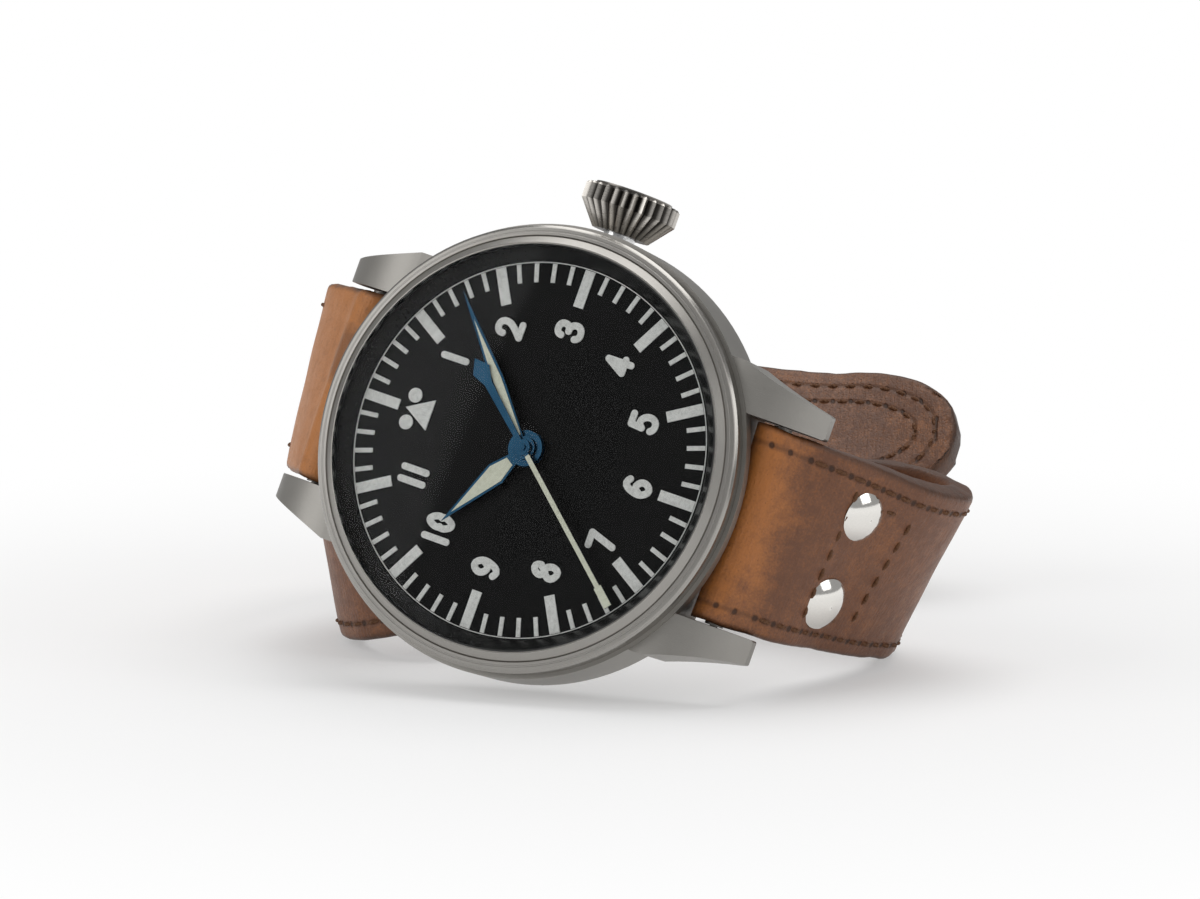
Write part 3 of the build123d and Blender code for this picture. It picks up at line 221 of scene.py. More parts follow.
# %% [markdown]
# ## Blasted and brushed steel
# The case is steel that was blasted with fine beads, which leaves a grey, even, slightly warm sheen.
# The lugs are brushed lengthwise. Both are the same metal, so one finish does both: a fine round
# noise for the blasting, and a noise that is drawn out along the lugs for the brushing.

# %% Case steel
def case_steel(name, rough, colour, brushed_from=None):
    finish = Finish(name, Metallic=1.0)
    x, y, z = watch_place(finish)
    beads = clouds(finish, together(finish, x, y, z), 7.0, 2.0)
    streaks = clouds(finish, together(finish, x * 9, y * 0.35, z * 9), 1.0, 3.0, 0.7)
    patches = clouds(finish, together(finish, x, y, z), 0.35, 3.0)
    pattern = beads
    if brushed_from:
        on_lug = rise(abs(y), brushed_from, brushed_from + 3)
        pattern = beads + (streaks * 1.6 - beads) * on_lug
    tone = patches * 0.6 + pattern * 0.4
    darker = tuple(part * 0.80 for part in colour)
    finish.feed("Base Color", blend(tone, rgb(*darker), rgb(*colour)))
    finish.feed("Roughness", rough - 0.06 + patches * 0.08 + pattern * 0.08)
    finish.feed("Normal", relief(pattern * 0.010))
    return finish


dress(case_steel("case_steel", 0.40, (0.38, 0.365, 0.34), 14.0), "mid_case")
dress(case_steel("case_back_steel", 0.36, (0.42, 0.40, 0.375)), "case_back")

# %% [markdown]
# The bezel is blasted too, but its two edges and the fine line turned into it were cut last, and so
# are bright. They are rings, so the distance from the dial's middle finds them.

# %% Bezel
bezel = case_steel("bezel_steel", 0.40, (0.40, 0.385, 0.36))
x, y, z = watch_place(bezel)
from_middle = (x * x + y * y) ** 0.5
outer_edge_r, line_r, inner_edge_r = 21.5, 20.95, 19.7
edge_out = rise(abs(from_middle - outer_edge_r), 0.16, 0.06)
edge_in = rise(abs(from_middle - inner_edge_r), 0.16, 0.06)
line = rise(abs(from_middle - line_r), 0.09, 0.04)
cut = edge_out.maths("MAXIMUM", edge_out, edge_in)
beads = clouds(bezel, together(bezel, x, y, z), 7.0, 2.0)
bezel.feed("Roughness", 0.36 + beads * 0.08 - cut * 0.22)
bezel.feed("Normal", relief(beads * 0.010 * (1 - cut) - line * 0.05))
dress(bezel, "bezel")

# %% [markdown]
# The crown is polished, and its flutes are painted dark: painted shade in the hollows between the ribs.
# A flute lies nearer to the stem than the ribs beside it, so the distance from the stem tells them apart.

# %% Crown
crown = Finish("crown_steel", Metallic=1.0)
x, y, z = watch_place(crown)
rings = clouds(crown, together(crown, x * 9, y * 0.7, z * 0.7), 1.0, 3.0)
stem = Vector(joints["crown_turn"]["pos_m"]) - dial_centre
stem_y, stem_z = (stem.dot(axis) / mm for axis in (to_twelve, off_dial))
from_stem = ((y - stem_y) ** 2 + (z - stem_z) ** 2) ** 0.5
crown_start, crown_end, neck_r, flare, crown_r = 22.4, 26.4, 2.85, 0.8085, 4.75
cone = (x - crown_start) * flare + neck_r
rib_r = cone.maths("MINIMUM", cone, crown_r)
# Painted shade: the flutes are darkened towards black, as the hollows between the ribs.
flute_shade = rise(rib_r - from_stem, 0.10, 0.38) * rise(x, 27.0, crown_end)
metal = blend(rings, rgb(0.50, 0.47, 0.43), rgb(0.66, 0.63, 0.59))
crown.feed("Base Color", blend(flute_shade, metal, rgb(0.06, 0.055, 0.05)))
crown.feed("Roughness", 0.22 + rings * 0.14)
crown.feed("Normal", relief(rings * 0.008))
dress(crown, "crown")

# %% [markdown]
# ## Glass over the dial
# Real glass bends light, and a renderer then needs many samples to light what lies below. A thin
# glass hardly bends anything, so it is enough to let light straight through and to mirror a little
# of it, more at a flat angle. A Fresnel node mixes the two in that way.

# %% Crystal
crystal = Finish("clear_glass")
through = crystal.node("ShaderNodeBsdfTransparent", None, {"Color": rgb(0.985, 0.99, 0.99)})
mirror = crystal.node("ShaderNodeBsdfAnisotropic", None, {"Color": rgb(1, 1, 1), "Roughness": 0.03})
edge_on = crystal.node("ShaderNodeFresnel", None, {"IOR": 1.12})
mixed = crystal.node("ShaderNodeMixShader", None, {0: edge_on, 1: through, 2: mirror})
crystal.plug(crystal.tree.nodes["Material Output"].inputs["Surface"], mixed)
dress(crystal, "crystal")

# %% [markdown]
# ## Dial, print and lume
# The dial is a matt black lacquer with a very fine grain. The marks are printed thick with luminous
# paint, so they stand up, are rough on top and have soft edges. The ring inside the bezel is black
# and shines just enough to mirror the minute marks.

# %% Dial and marks
dial = Finish("matt_black", Specular_IOR_Level=0.10)
x, y, z = watch_place(dial)
grain = clouds(dial, together(dial, x, y, z), 9.0, 3.0)
dial.feed("Base Color", blend(grain, rgb(0.004, 0.004, 0.0042), rgb(0.011, 0.011, 0.011)))
dial.feed("Roughness", 0.55 + grain * 0.2)
dial.feed("Normal", relief(grain * 0.012))
dress(dial, "dial")

rehaut = Finish("ring_black", Specular_IOR_Level=0.5)
x, y, z = watch_place(rehaut)
grain = clouds(rehaut, together(rehaut, x, y, z), 3.0, 2.0)
rehaut.feed("Base Color", blend(grain, rgb(0.010, 0.010, 0.010), rgb(0.020, 0.020, 0.020)))
rehaut.feed("Roughness", 0.18 + grain * 0.12)
dress(rehaut, "rehaut_ring")


def thick_paint(name, shade, light):
    finish = Finish(name, Specular_IOR_Level=0.2)
    x, y, z = watch_place(finish)
    place = together(finish, x, y, z)
    lumps = clouds(finish, place, 2.2, 4.0, 0.65)
    dust = clouds(finish, place, 9.0, 2.0)
    tone = rise(lumps * 0.6 + dust * 0.4, 0.3, 0.62)
    finish.feed("Base Color", blend(tone, rgb(*shade), rgb(*light)))
    finish.feed("Roughness", 0.62 + dust * 0.25)
    finish.feed("Normal", relief(lumps * 0.07 + dust * 0.02))
    return finish


dress(thick_paint("mark_paint", (0.66, 0.66, 0.63), (0.90, 0.90, 0.87)),
      "dial_markers", "dial_numerals")
dress(thick_paint("hand_paint", (0.73, 0.74, 0.58), (0.86, 0.87, 0.72)),
      "hour_hand_paint", "minute_hand_paint", "seconds_hand_paint")

# %% [markdown]
# ## Blued hands
# Steel that is heated turns blue. The film is thin, so the blue is deep and still mirrors like metal,
# and it varies a little along each hand.

# %% Hands
blued = Finish("blued_steel", Metallic=1.0)
x, y, z = watch_place(blued)
heat = clouds(blued, together(blued, x, y, z), 0.5, 2.0)
blued.feed("Base Color", blend(heat, rgb(0.018, 0.060, 0.115), rgb(0.035, 0.110, 0.190)))
blued.feed("Roughness", 0.24 + heat * 0.10)
dress(blued, "hour_hand", "minute_hand", "seconds_hand", "cannon_pinion", "hour_wheel")

# %% [markdown]
# ## Inside the case
# None of this shows until the case is opened, but a part that is taken from a library may be. Plates
# are plated brass with a pearled grain, wheels are gilt, and screws, arbors and springs are steel.

# %% Movement and seals
def fine_metal(name, shade, light, rough, scale):
    finish = Finish(name, Metallic=1.0)
    x, y, z = watch_place(finish)
    place = together(finish, x, y, z)
    pearls = cells(finish, place, scale)
    haze = clouds(finish, place, 0.8, 3.0)
    finish.feed("Base Color", blend(haze, rgb(*shade), rgb(*light)))
    finish.feed("Roughness", rough + pearls * 0.10)
    finish.feed("Normal", relief(pearls * 0.012))
    return finish


dress(fine_metal("plate_nickel", (0.56, 0.53, 0.46), (0.72, 0.69, 0.62), 0.28, 1.1),
      "mainplate", "barrel_bridge", "train_bridge", "balance_cock", "movement_ring")
dress(fine_metal("gilt_brass", (0.62, 0.44, 0.16), (0.80, 0.62, 0.28), 0.22, 3.0),
      "barrel", "centre_wheel", "third_wheel", "seconds_wheel", "minute_wheel", "balance_wheel")
dress(fine_metal("bar_steel", (0.20, 0.19, 0.18), (0.32, 0.30, 0.28), 0.34, 4.0),
      "spring_bar_12", "spring_bar_6")
dress(fine_metal("bright_steel", (0.58, 0.58, 0.58), (0.76, 0.76, 0.76), 0.16, 4.0),
      "crown_tube", "winding_stem", "barrel_arbor", "casing_screws",
      "bridge_screws", "click", "sliding_pinion", "winding_pinion", "crown_wheel", "ratchet_wheel",
      "escape_wheel", "pallet_fork", "balance_spring", "mainspring")


def plain_seal(name, shade, light, rough, **plain):
    finish = Finish(name, **plain)
    x, y, z = watch_place(finish)
    haze = clouds(finish, together(finish, x, y, z), 2.0, 3.0)
    finish.feed("Base Color", blend(haze, rgb(*shade), rgb(*light)))
    finish.feed("Roughness", rough + haze * 0.1)
    return finish


dress(plain_seal("black_rubber", (0.012, 0.012, 0.012), (0.03, 0.03, 0.03), 0.5),
      "crystal_gasket", "case_back_gasket", "crown_gasket")
dress(plain_seal("ruby", (0.35, 0.01, 0.05), (0.55, 0.02, 0.09), 0.06), "jewels")

# %% [markdown]
# ## Nickel on the rivets and the buckle
# The two domed rivets are polished, and mirror the studio: white below, a dark band near the top.
# Fine scratches keep them from looking like drops of mercury.

# %% Rivets and buckle
nickel = Finish("polished_nickel", Metallic=1.0)
x, y, z = watch_place(nickel)
wear = clouds(nickel, together(nickel, x * 6, y * 0.8, z * 6), 1.0, 4.0, 0.7)
nickel.feed("Base Color", blend(wear, rgb(0.74, 0.72, 0.68), rgb(0.86, 0.84, 0.80)))
nickel.feed("Roughness", 0.07 + wear * 0.07)
nickel.feed("Normal", relief(wear * 0.003))
dress(nickel, "rivets", "buckle_frame", "buckle_bar", "buckle_tongue")

# %% [markdown]
# ## The way each strap piece runs
# Each strap piece is flat leather that was worn into a curl. It could be modelled curled, but then
# its stitches, edges and grain would all have to be worked out in space. It is far easier to make it
# flat, as it was cut, and to bend it at the end. The route has a share of the length, a bend, a twist
# and a sway for each span, as the solid's route has.

# %% Strap routes
bar_y = 22.2
bar_z = -4.4
strap_t = 3.0
tail_long = 106.0
buckle_long = 125.0
tail_shares = [(0.125, -13.5, -6.0, 0.5), (0.125, -21.5, -1.5, 0.0),
               (0.125, -8.5, 0.0, 0.0), (0.125, -57.0, -7.0, 0.0),
               (0.125, -16.0, -13.0, 0.0), (0.125, 0.0, -14.0, 0.5),
               (0.125, -9.0, -9.5, 0.5), (0.125, -10.5, 7.0, 0.5)]
buckle_shares = [(0.040, 22.5, 3.0, 1.0), (0.040, 21.0, 6.5, 0.5),
                 (0.048, -3.5, 9.0, 0.0), (0.056, 16.0, 1.0, -0.5),
                 (0.064, 49.5, -9.5, -9.25), (0.072, 20.0, -25.25, -10.0),
                 (0.088, 16.0, -5.25, 4.25), (0.104, 15.0, 4.5, 3.5),
                 (0.112, 12.75, 7.25, 0.0), (0.112, 37.5, -1.0, -8.0),
                 (0.096, 49.25, 4.0, -0.75), (0.056, 40.75, 0.75, 2.25),
                 (0.056, 60.0, -10.25, 3.5), (0.056, 59.0, -8.0, 3.75)]


def turned(vector, axis, degrees):
    return Quaternion(axis, math.radians(degrees)) @ vector


def strap_route(side, slope, long, shares):
    """Stations along a strap: distance, place, direction ahead and direction across."""
    at = Vector((0, side * bar_y, bar_z))
    ahead = Vector((0, side * math.cos(math.radians(slope)), -math.sin(math.radians(slope))))
    across = Vector((1, 0, 0))
    done = 0.0
    stations = [(done, at, ahead, across)]
    for share, bend, twist, sway in shares:
        span = share * long
        steps = max(2, round(max(span / 3.3, abs(bend) / 9)))
        for _ in range(steps):
            ahead = turned(ahead, across, bend / steps)
            across = turned(across, ahead, twist / steps)
            outward = ahead.cross(across)
            ahead = turned(ahead, outward, sway / steps)
            across = turned(across, outward, sway / steps)
            at = at + ahead * (span / steps)
            done += span / steps
            stations.append((done, at, ahead, across))
    return stations


tail_slope, buckle_slope = 43.0, 25.9
tail_route = strap_route(1, tail_slope, tail_long, tail_shares)
buckle_route = strap_route(-1, buckle_slope, buckle_long, buckle_shares)
print("stations:", len(tail_route), "and", len(buckle_route))

# %% [markdown]
# Between two stations the leather runs in a smooth curve. A Hermite curve does that: it goes through
# both stations and leaves each in the mean of the directions before and after it.

# %% Bend a flat place onto a route
def bent(route, side, u, v, h):
    """Where a place on the flat leather ends up: u across it, v along it, h off its middle."""
    last = len(route) - 1
    first = 0
    while first < last - 1 and route[first + 1][0] < v:
        first += 1
    near, far = route[first], route[first + 1]
    span = far[0] - near[0]
    t = (v - near[0]) / span
    ahead_near = (near[2] + far[2]).normalized() if first else far[2]
    across_near = near[3] + far[3]
    beyond = route[min(first + 2, last)]
    ahead_far = (far[2] + beyond[2]).normalized()
    across_far = far[3] + beyond[3]
    if t < 0:
        middle, along = near[1] + ahead_near * (v - near[0]), ahead_near
    elif t > 1:
        middle, along = far[1] + ahead_far * (v - far[0]), ahead_far
    else:
        start, end = ahead_near * span, ahead_far * span
        middle = (near[1] * (2 * t**3 - 3 * t**2 + 1) + start * (t**3 - 2 * t**2 + t)
                  + far[1] * (3 * t**2 - 2 * t**3) + end * (t**3 - t**2))
        along = (near[1] * (6 * t**2 - 6 * t) + start * (3 * t**2 - 4 * t + 1)
                 + far[1] * (6 * t - 6 * t**2) + end * (3 * t**2 - 2 * t)).normalized()
    share = min(max(t, 0), 1)
    across = across_near * (1 - share) + across_far * share
    across = (across - along * across.dot(along)).normalized()
    outward = across.cross(along) * side
    return middle + across * side * u + outward * h


# %% [markdown]
# ## The outline of the flat pieces
# Both pieces narrow evenly from the lugs. The long one ends in a rounded point. Hand-cut edges are
# never quite straight, so the outline wavers by a tenth of a millimetre.

# %% Half widths along the straps
root_half = 9.7
tail_half_end = 9.0
buckle_half_end = 8.0
tip_long = 13.0
tip_half = 0.6
fold_r = 2.3
buckle_fold_r = 2.2
slot_half = 1.6
slot_long = 4.6


def tail_half(v):
    half = root_half + (tail_half_end - root_half) * max(v, 0) / tail_long
    into_tip = min(max((v - tail_long + tip_long) / tip_long, 0), 1)
    return tip_half + (half - tip_half) * math.sqrt(max(1 - into_tip**2, 0))


def buckle_half(v):
    return root_half + (buckle_half_end - root_half) * min(max(v, 0), buckle_long) / buckle_long


def outline(half_at, start, end, closed_end):
    """Points round one flat piece, from one side of its fold to the other."""
    count = round((end - start) / 0.5)
    rows = [start + (end - start) * row / count for row in range(count + 1)]
    points = [Vector((-half_at(v), v)) for v in rows]
    if closed_end:
        points += [Vector((tip_half * step / 3, end)) for step in (-2, -1, 0, 1, 2)]
    return points, [Vector((half_at(v), v)) for v in reversed(rows)]


def rim_of(points, u, v):
    """How far a flat place is from the cut edge."""
    here = Vector((u, v))
    return min((point - here).length for point in points)


tail_left, tail_right = outline(tail_half, -fold_r, tail_long, True)
buckle_left, buckle_right = outline(buckle_half, -fold_r, buckle_long + buckle_fold_r, False)
tail_edge = tail_left + tail_right
buckle_edge = buckle_left + buckle_right
print("outline points:", len(tail_edge), "and", len(buckle_edge))

# %% [markdown]
# ## A flat piece of leather
# The leather starts as a grid. Faces are taken out where the buckle's tongue needs a slot, an extrude
# gives the thickness, and a bevel rounds the cut edges. At a fold the leather is as thick as the loop
# round its bar, and it ends there in a half round. Before bending, each point notes where it lies on
# the flat leather and how far it is from the edge. The grain and the dark edges use those notes.

# %% Make and bend a leather piece
def leather_rows(long, closed_end):
    """Distances along the leather: close together at the folds and the tip."""
    loop = [-fold_r * math.cos(math.radians(turn)) for turn in (0, 15, 30, 45, 60, 75)]
    body = [float(row) for row in range(0, int(long - tip_long))]
    finish_steps = round((long - body[-1] - 1) / 0.6)
    start = body[-1] + 1
    body += [start + (long - start) * step / finish_steps for step in range(finish_steps + 1)]
    if closed_end:
        return loop + body
    end = [long + buckle_fold_r * math.sin(math.radians(turn)) for turn in (15, 30, 45, 60, 75, 90)]
    return loop + body + end


def half_thick(v, long, closed_end):
    if v < 0:
        return math.sqrt(max(fold_r**2 - v**2, 0))
    thick = strap_t / 2 + (fold_r - strap_t / 2) * math.exp(-((v / 1.8) ** 2))
    if closed_end:
        return thick
    if v > long:
        return math.sqrt(max(buckle_fold_r**2 - (v - long) ** 2, 0))
    return thick + (buckle_fold_r - strap_t / 2) * math.exp(-(((long - v) / 1.8) ** 2))


def leather_piece(name, route, side, long, half_at, edge, closed_end):
    flat = bmesh.new()
    rows = leather_rows(long, closed_end)
    columns = 20
    bmesh.ops.create_grid(flat, x_segments=columns, y_segments=len(rows) - 1, size=1.0)
    for vertex in flat.verts:
        row = round((vertex.co.y + 1) / 2 * (len(rows) - 1))
        v = rows[row]
        vertex.co = (vertex.co.x * half_at(v), v, 0)
    if not closed_end:
        slot = [face for face in flat.faces
                if abs(face.calc_center_median().x) < slot_half
                and face.calc_center_median().y > long - slot_long]
        bmesh.ops.delete(flat, geom=slot, context="FACES")
    lifted = bmesh.ops.extrude_face_region(flat, geom=flat.faces[:])["geom"]
    lifted = [item for item in lifted if isinstance(item, bmesh.types.BMVert)]
    bmesh.ops.translate(flat, verts=flat.verts[:], vec=(0, 0, -strap_t / 2))
    bmesh.ops.translate(flat, verts=lifted, vec=(0, 0, strap_t))
    bmesh.ops.recalc_face_normals(flat, faces=flat.faces[:])
    low, high = rows[0], rows[-1]
    sharp = [line for line in flat.edges if line.calc_face_angle(0) > 1
             and not all(corner.co.y < low + 0.01 for corner in line.verts)
             and (closed_end or not all(corner.co.y > high - 0.01 for corner in line.verts))]
    bmesh.ops.bevel(flat, geom=sharp, offset=0.55, segments=3, profile=0.5,
                    affect="EDGES", material=-1)
    place_note = flat.verts.layers.float_vector.new("flat")
    rim_note = flat.verts.layers.float.new("rim")
    for vertex in flat.verts:
        u, v, h = vertex.co
        rim = rim_of(edge, u, v)
        vertex[rim_note] = rim
        vertex[place_note] = (u, v, h)
        h *= half_thick(v, long, closed_end) / (strap_t / 2)
        near_rim = math.exp(-((rim / 1.2) ** 2))
        u += near_rim * 0.16 * noise.noise((v * 0.45, side * 9.0, 0))
        v -= 0.35 * (abs(u) / root_half) ** 6 * math.exp(-((v / 3) ** 2))
        h += 0.07 * noise.noise((u * 0.22, v * 0.22, side * 5.0))
        h -= math.copysign(0.10, h) * near_rim
        vertex.co = bent(route, side, u, v, h)
    bmesh.ops.remove_doubles(flat, verts=flat.verts[:], dist=0.01)
    bmesh.ops.recalc_face_normals(flat, faces=flat.faces[:])
    return finish_piece(name, flat)


def finish_piece(name, shape):
    """Turn a bmesh in millimetres on the watch into an object in the scene."""
    bmesh.ops.transform(shape, matrix=watch, verts=shape.verts[:])
    for face in shape.faces:
        face.smooth = True
    mesh = bpy.data.meshes.new(name)
    shape.to_mesh(mesh)
    shape.free()
    piece = bpy.data.objects.new(name, mesh)
    bpy.context.scene.collection.objects.link(piece)
    print(name, "has", len(mesh.polygons), "faces")
    return piece


leather_6 = leather_piece("leather_6", buckle_route, -1, buckle_long, buckle_half, buckle_edge, False)
leather_12 = leather_piece("leather_12", tail_route, 1, tail_long, tail_half, tail_edge, True)
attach(leather_6, "strap_6")
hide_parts("strap_buckle_side")
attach(leather_12, "strap_12")
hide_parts("strap_tail")

# %% [markdown]
# ## Stitches
# The thread goes down through one hole and comes up through the next, two millimetres on. What shows
# is a row of short ends that dive into dark holes. One stitch is a small ball, drawn out and bent
# down at its ends, and it is set again and again along the rows. Every row is a line of flat places:
# along both edges, twice round the tip, and a box round the rivets.

# %% Rows of holes
stitch_pitch = 2.0
edge_inset = 1.75
tip_insets = (2.3, 4.5)
stitched_from = 14
inner_row_from = 58


def inset_row(points, edge, inset):
    """A line inside the outline, always as far from the edge."""
    row = []
    for before, here, after in zip(points, points[1:], points[2:]):
        way = (after - before).normalized()
        inside = here + Vector((way.y, -way.x)) * inset
        if min((point - inside).length for point in edge) > inset - 0.12:
            row.append(inside)
    return row


def evenly(row, pitch):
    """The places of the holes along a line."""
    holes = [row[0]]
    left = pitch
    for near, far in zip(row, row[1:]):
        span = (far - near).length
        while span >= left:
            near = near + (far - near) * (left / span)
            holes.append(near)
            span -= left
            left = pitch
        left -= span
    return holes


def straight(start, end, count=60):
    return [start.lerp(end, step / count) for step in range(count + 1)]


tail_round = tail_left + tail_right
tail_rows = []
for inset, row_from in zip(tip_insets, (stitched_from, inner_row_from)):
    row = evenly(inset_row(tail_round, tail_edge, inset), stitch_pitch)
    tail_rows.append([hole for hole in row if hole.y > row_from])
box_near, box_far, box_half = 8.2, 16.0, 6.0
across_inset = 2.6
buckle_rows = [evenly([Vector((way * (buckle_half(v) - edge_inset), v)) for v in range(3, 119)],
                      stitch_pitch) for way in (-1, 1)]
for start, end in (((-root_half + across_inset, box_near), (root_half - across_inset, box_near)),
                   ((-box_half, box_far), (box_half, box_far)),
                   ((-box_half, box_near), (-box_half, box_far)),
                   ((box_half, box_near), (box_half, box_far))):
    buckle_rows.append(evenly(straight(Vector(start), Vector(end)), stitch_pitch))
print("rows:", [len(row) for row in tail_rows + buckle_rows])

# %% Set the stitches
thread_half = 0.21
stitch_stand = 0.04
stitch_dip = 0.26


def set_stitches(name, rows, route, side, long, closed_end):
    stitches = bmesh.new()
    sag_note = stitches.verts.layers.float_vector.new("flat")
    for row in rows:
        for near, far in zip(row, row[1:]):
            middle = (near + far) / 2
            way = far - near
            reach = way.length * 0.40
            way.normalize()
            for face_side in (1, -1):
                made = bmesh.ops.create_uvsphere(stitches, u_segments=8, v_segments=6,
                                                 radius=1.0)["verts"]
                lean = 0.10 * noise.noise((middle.x, middle.y, face_side))
                top = half_thick(middle.y, long, closed_end)
                for vertex in made:
                    x, y, z = vertex.co
                    along, over = z * reach, x * thread_half + lean * z
                    lift = y * thread_half + stitch_stand - stitch_dip * z * z
                    u = middle.x + way.x * along - way.y * over
                    v = middle.y + way.y * along + way.x * over
                    vertex[sag_note] = (z, math.atan2(y, x), middle.y)
                    vertex.co = bent(route, side, u, v, face_side * (top + lift))
    bmesh.ops.recalc_face_normals(stitches, faces=stitches.faces[:])
    return finish_piece(name, stitches)


stitches_6 = set_stitches("stitches_6", buckle_rows, buckle_route, -1, buckle_long, False)
stitches_12 = set_stitches("stitches_12", tail_rows, tail_route, 1, tail_long, True)
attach(stitches_6, "strap_6")
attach(stitches_12, "strap_12")

# %% [markdown]
# Waxed thread is two strands twisted together. Slanted stripes in its relief are enough at this size.

# %% Thread
thread = Finish("waxed_thread", Specular_IOR_Level=0.3)
note = thread.node("ShaderNodeAttribute", {"attribute_name": "flat"}, out="Vector")
strand = thread.node("ShaderNodeSeparateXYZ", None, {"Vector": note}, out="X")
round_it = thread.node("ShaderNodeSeparateXYZ", None, {"Vector": note}, out="Y")
twist = thread.node("ShaderNodeMath", {"operation": "SINE"}, {0: strand * 9 + round_it})
x, y, z = watch_place(thread)
fuzz = clouds(thread, together(thread, x, y, z), 6.0, 3.0)
thread.feed("Base Color", blend(fuzz, rgb(0.075, 0.030, 0.013), rgb(0.20, 0.090, 0.038)))
thread.feed("Roughness", 0.55 + fuzz * 0.2)
thread.feed("Normal", relief(twist * 0.05 + fuzz * 0.04))
for piece in (stitches_6, stitches_12):
    piece.data.materials.append(thread.material)

# %% [markdown]
# ## Leather
# The leather is waxed cowhide that has been worn. It is pale orange near the lugs and brown further
# along, partly worn tone and partly a painted highlight where light falls on the bend by the lugs. It is
# nearly black along the cut edges, its stitch holes are painted dark as shade, and it has pores, fine
# creases across the bends and a few scuffs. All of these are read from the notes that each point carries,
# so the pattern lies on the leather and not in space.

# %% Leather finish
def leather(name, pale, dark, near_fold, rows_at, scuff=None):
    """Worn leather with painted light. near_fold is how far the pale tone, partly a painted highlight,
    reaches from the lugs.
    """
    finish = Finish(name, Specular_IOR_Level=0.45)
    note = finish.node("ShaderNodeAttribute", {"attribute_name": "flat"}, out="Vector")
    rim = finish.node("ShaderNodeAttribute", {"attribute_name": "rim"}, out="Fac")
    u = finish.node("ShaderNodeSeparateXYZ", None, {"Vector": note}, out="X")
    v = finish.node("ShaderNodeSeparateXYZ", None, {"Vector": note}, out="Y")
    large = clouds(finish, note, 0.16, 4.0, 0.6)
    middling = clouds(finish, note, 0.9, 4.0, 0.6)
    fine = clouds(finish, note, 4.5, 3.0, 0.6)
    pores = cells(finish, note, 2.6)
    creases = clouds(finish, together(finish, u * 0.35, v * 2.4, 0.0), 1.0, 4.0, 0.65)
    # Pale near the lugs and dark further on: partly worn tone, partly a painted highlight on the bend by
    # the lugs.
    wear_and_highlight_fade = rise(v + (large - 0.5) * 9, near_fold[0], near_fold[1])
    tone = wear_and_highlight_fade * 0.75 + (middling - 0.5) * 0.75 + (large - 0.5) * 0.6 + (fine - 0.5) * 0.8
    colour = blend(rise(tone, -0.15, 0.95), rgb(*pale), rgb(*dark))
    deep = tuple(part * 0.22 for part in dark)
    burnt = rise(rim + (middling - 0.5) * 0.7, 0.75, 0.0)
    colour = blend(burnt * 0.85, colour, rgb(*deep))
    speck = rise(pores, 0.22, 0.02) * rise(fine, 0.45, 0.7)
    colour = blend(speck * 0.65, colour, rgb(*deep))
    holes = None
    for line, along in rows_at(u, v, rim):
        beat = abs(finish.node("ShaderNodeMath", {"operation": "PINGPONG"},
                               {0: along, 1: stitch_pitch / 2}))
        spot = rise((line * line + beat * beat) ** 0.5, 0.42, 0.16)
        groove = rise(abs(line), 0.45, 0.0) * 0.45
        dent = spot.maths("MAXIMUM", spot, groove)
        holes = dent if holes is None else holes.maths("MAXIMUM", holes, dent)
    # Stitch holes and the grooves between them are painted dark: painted shade in these hollows.
    colour = blend(holes * 0.88, colour, rgb(*deep))
    if scuff:
        at_u, at_v, wide, long = scuff
        oval = ((u - at_u) / wide) ** 2 + ((v - at_v) / long) ** 2
        patch = rise(oval + (middling - 0.5) * 1.6, 1.2, 0.3)
        colour = blend(patch * 0.55, colour, rgb(*dark))
    finish.feed("Base Color", colour)
    finish.feed("Roughness", 0.40 + (middling - 0.5) * 0.25 + fine * 0.10 + holes * 0.2)
    height = (fine * 0.030 + rise(pores, 0.0, 0.5) * 0.022 + middling * 0.05
              + rise(creases, 0.55, 0.35) * 0.022 - holes * 0.16)
    finish.feed("Normal", relief(height))
    return finish


def rows_6(u, v, rim):
    half = root_half - v * ((root_half - buckle_half_end) / buckle_long)
    yield half - abs(u) - edge_inset, v - 3.0


def rows_12(u, v, rim):
    for inset, row_from in zip(tip_insets, (stitched_from, inner_row_from)):
        yield rim - inset + rise(v, row_from, row_from - 1) * 5, v


# On the buckle piece the pale band by the lugs, up to 6 mm along, is a painted highlight on its bend.
leather_6_finish = leather("leather_brown", (0.46, 0.165, 0.040), (0.155, 0.060, 0.027),
                           (-3.0, 6.0), rows_6)
leather_12_finish = leather("leather_tan", (0.50, 0.190, 0.050), (0.110, 0.042, 0.018),
                            (30.0, 80.0), rows_12, scuff=(3.0, -1.0, 3.0, 4.0))
leather_6.data.materials.append(leather_6_finish.material)
leather_12.data.materials.append(leather_12_finish.material)

# %% [markdown]
# ## Keepers
# A keeper is a narrow leather loop round the strap. A tube with four-cornered walls would do, but a
# real one is a strip bent round soft corners. An open cylinder is pushed out to a rounded rectangle,
# given a wall, and its edges are rounded.

# %% Make the keepers
keeper_gap = 0.6
keeper_t = 0.8
keeper_long = 6.0
fold_room = 3.4


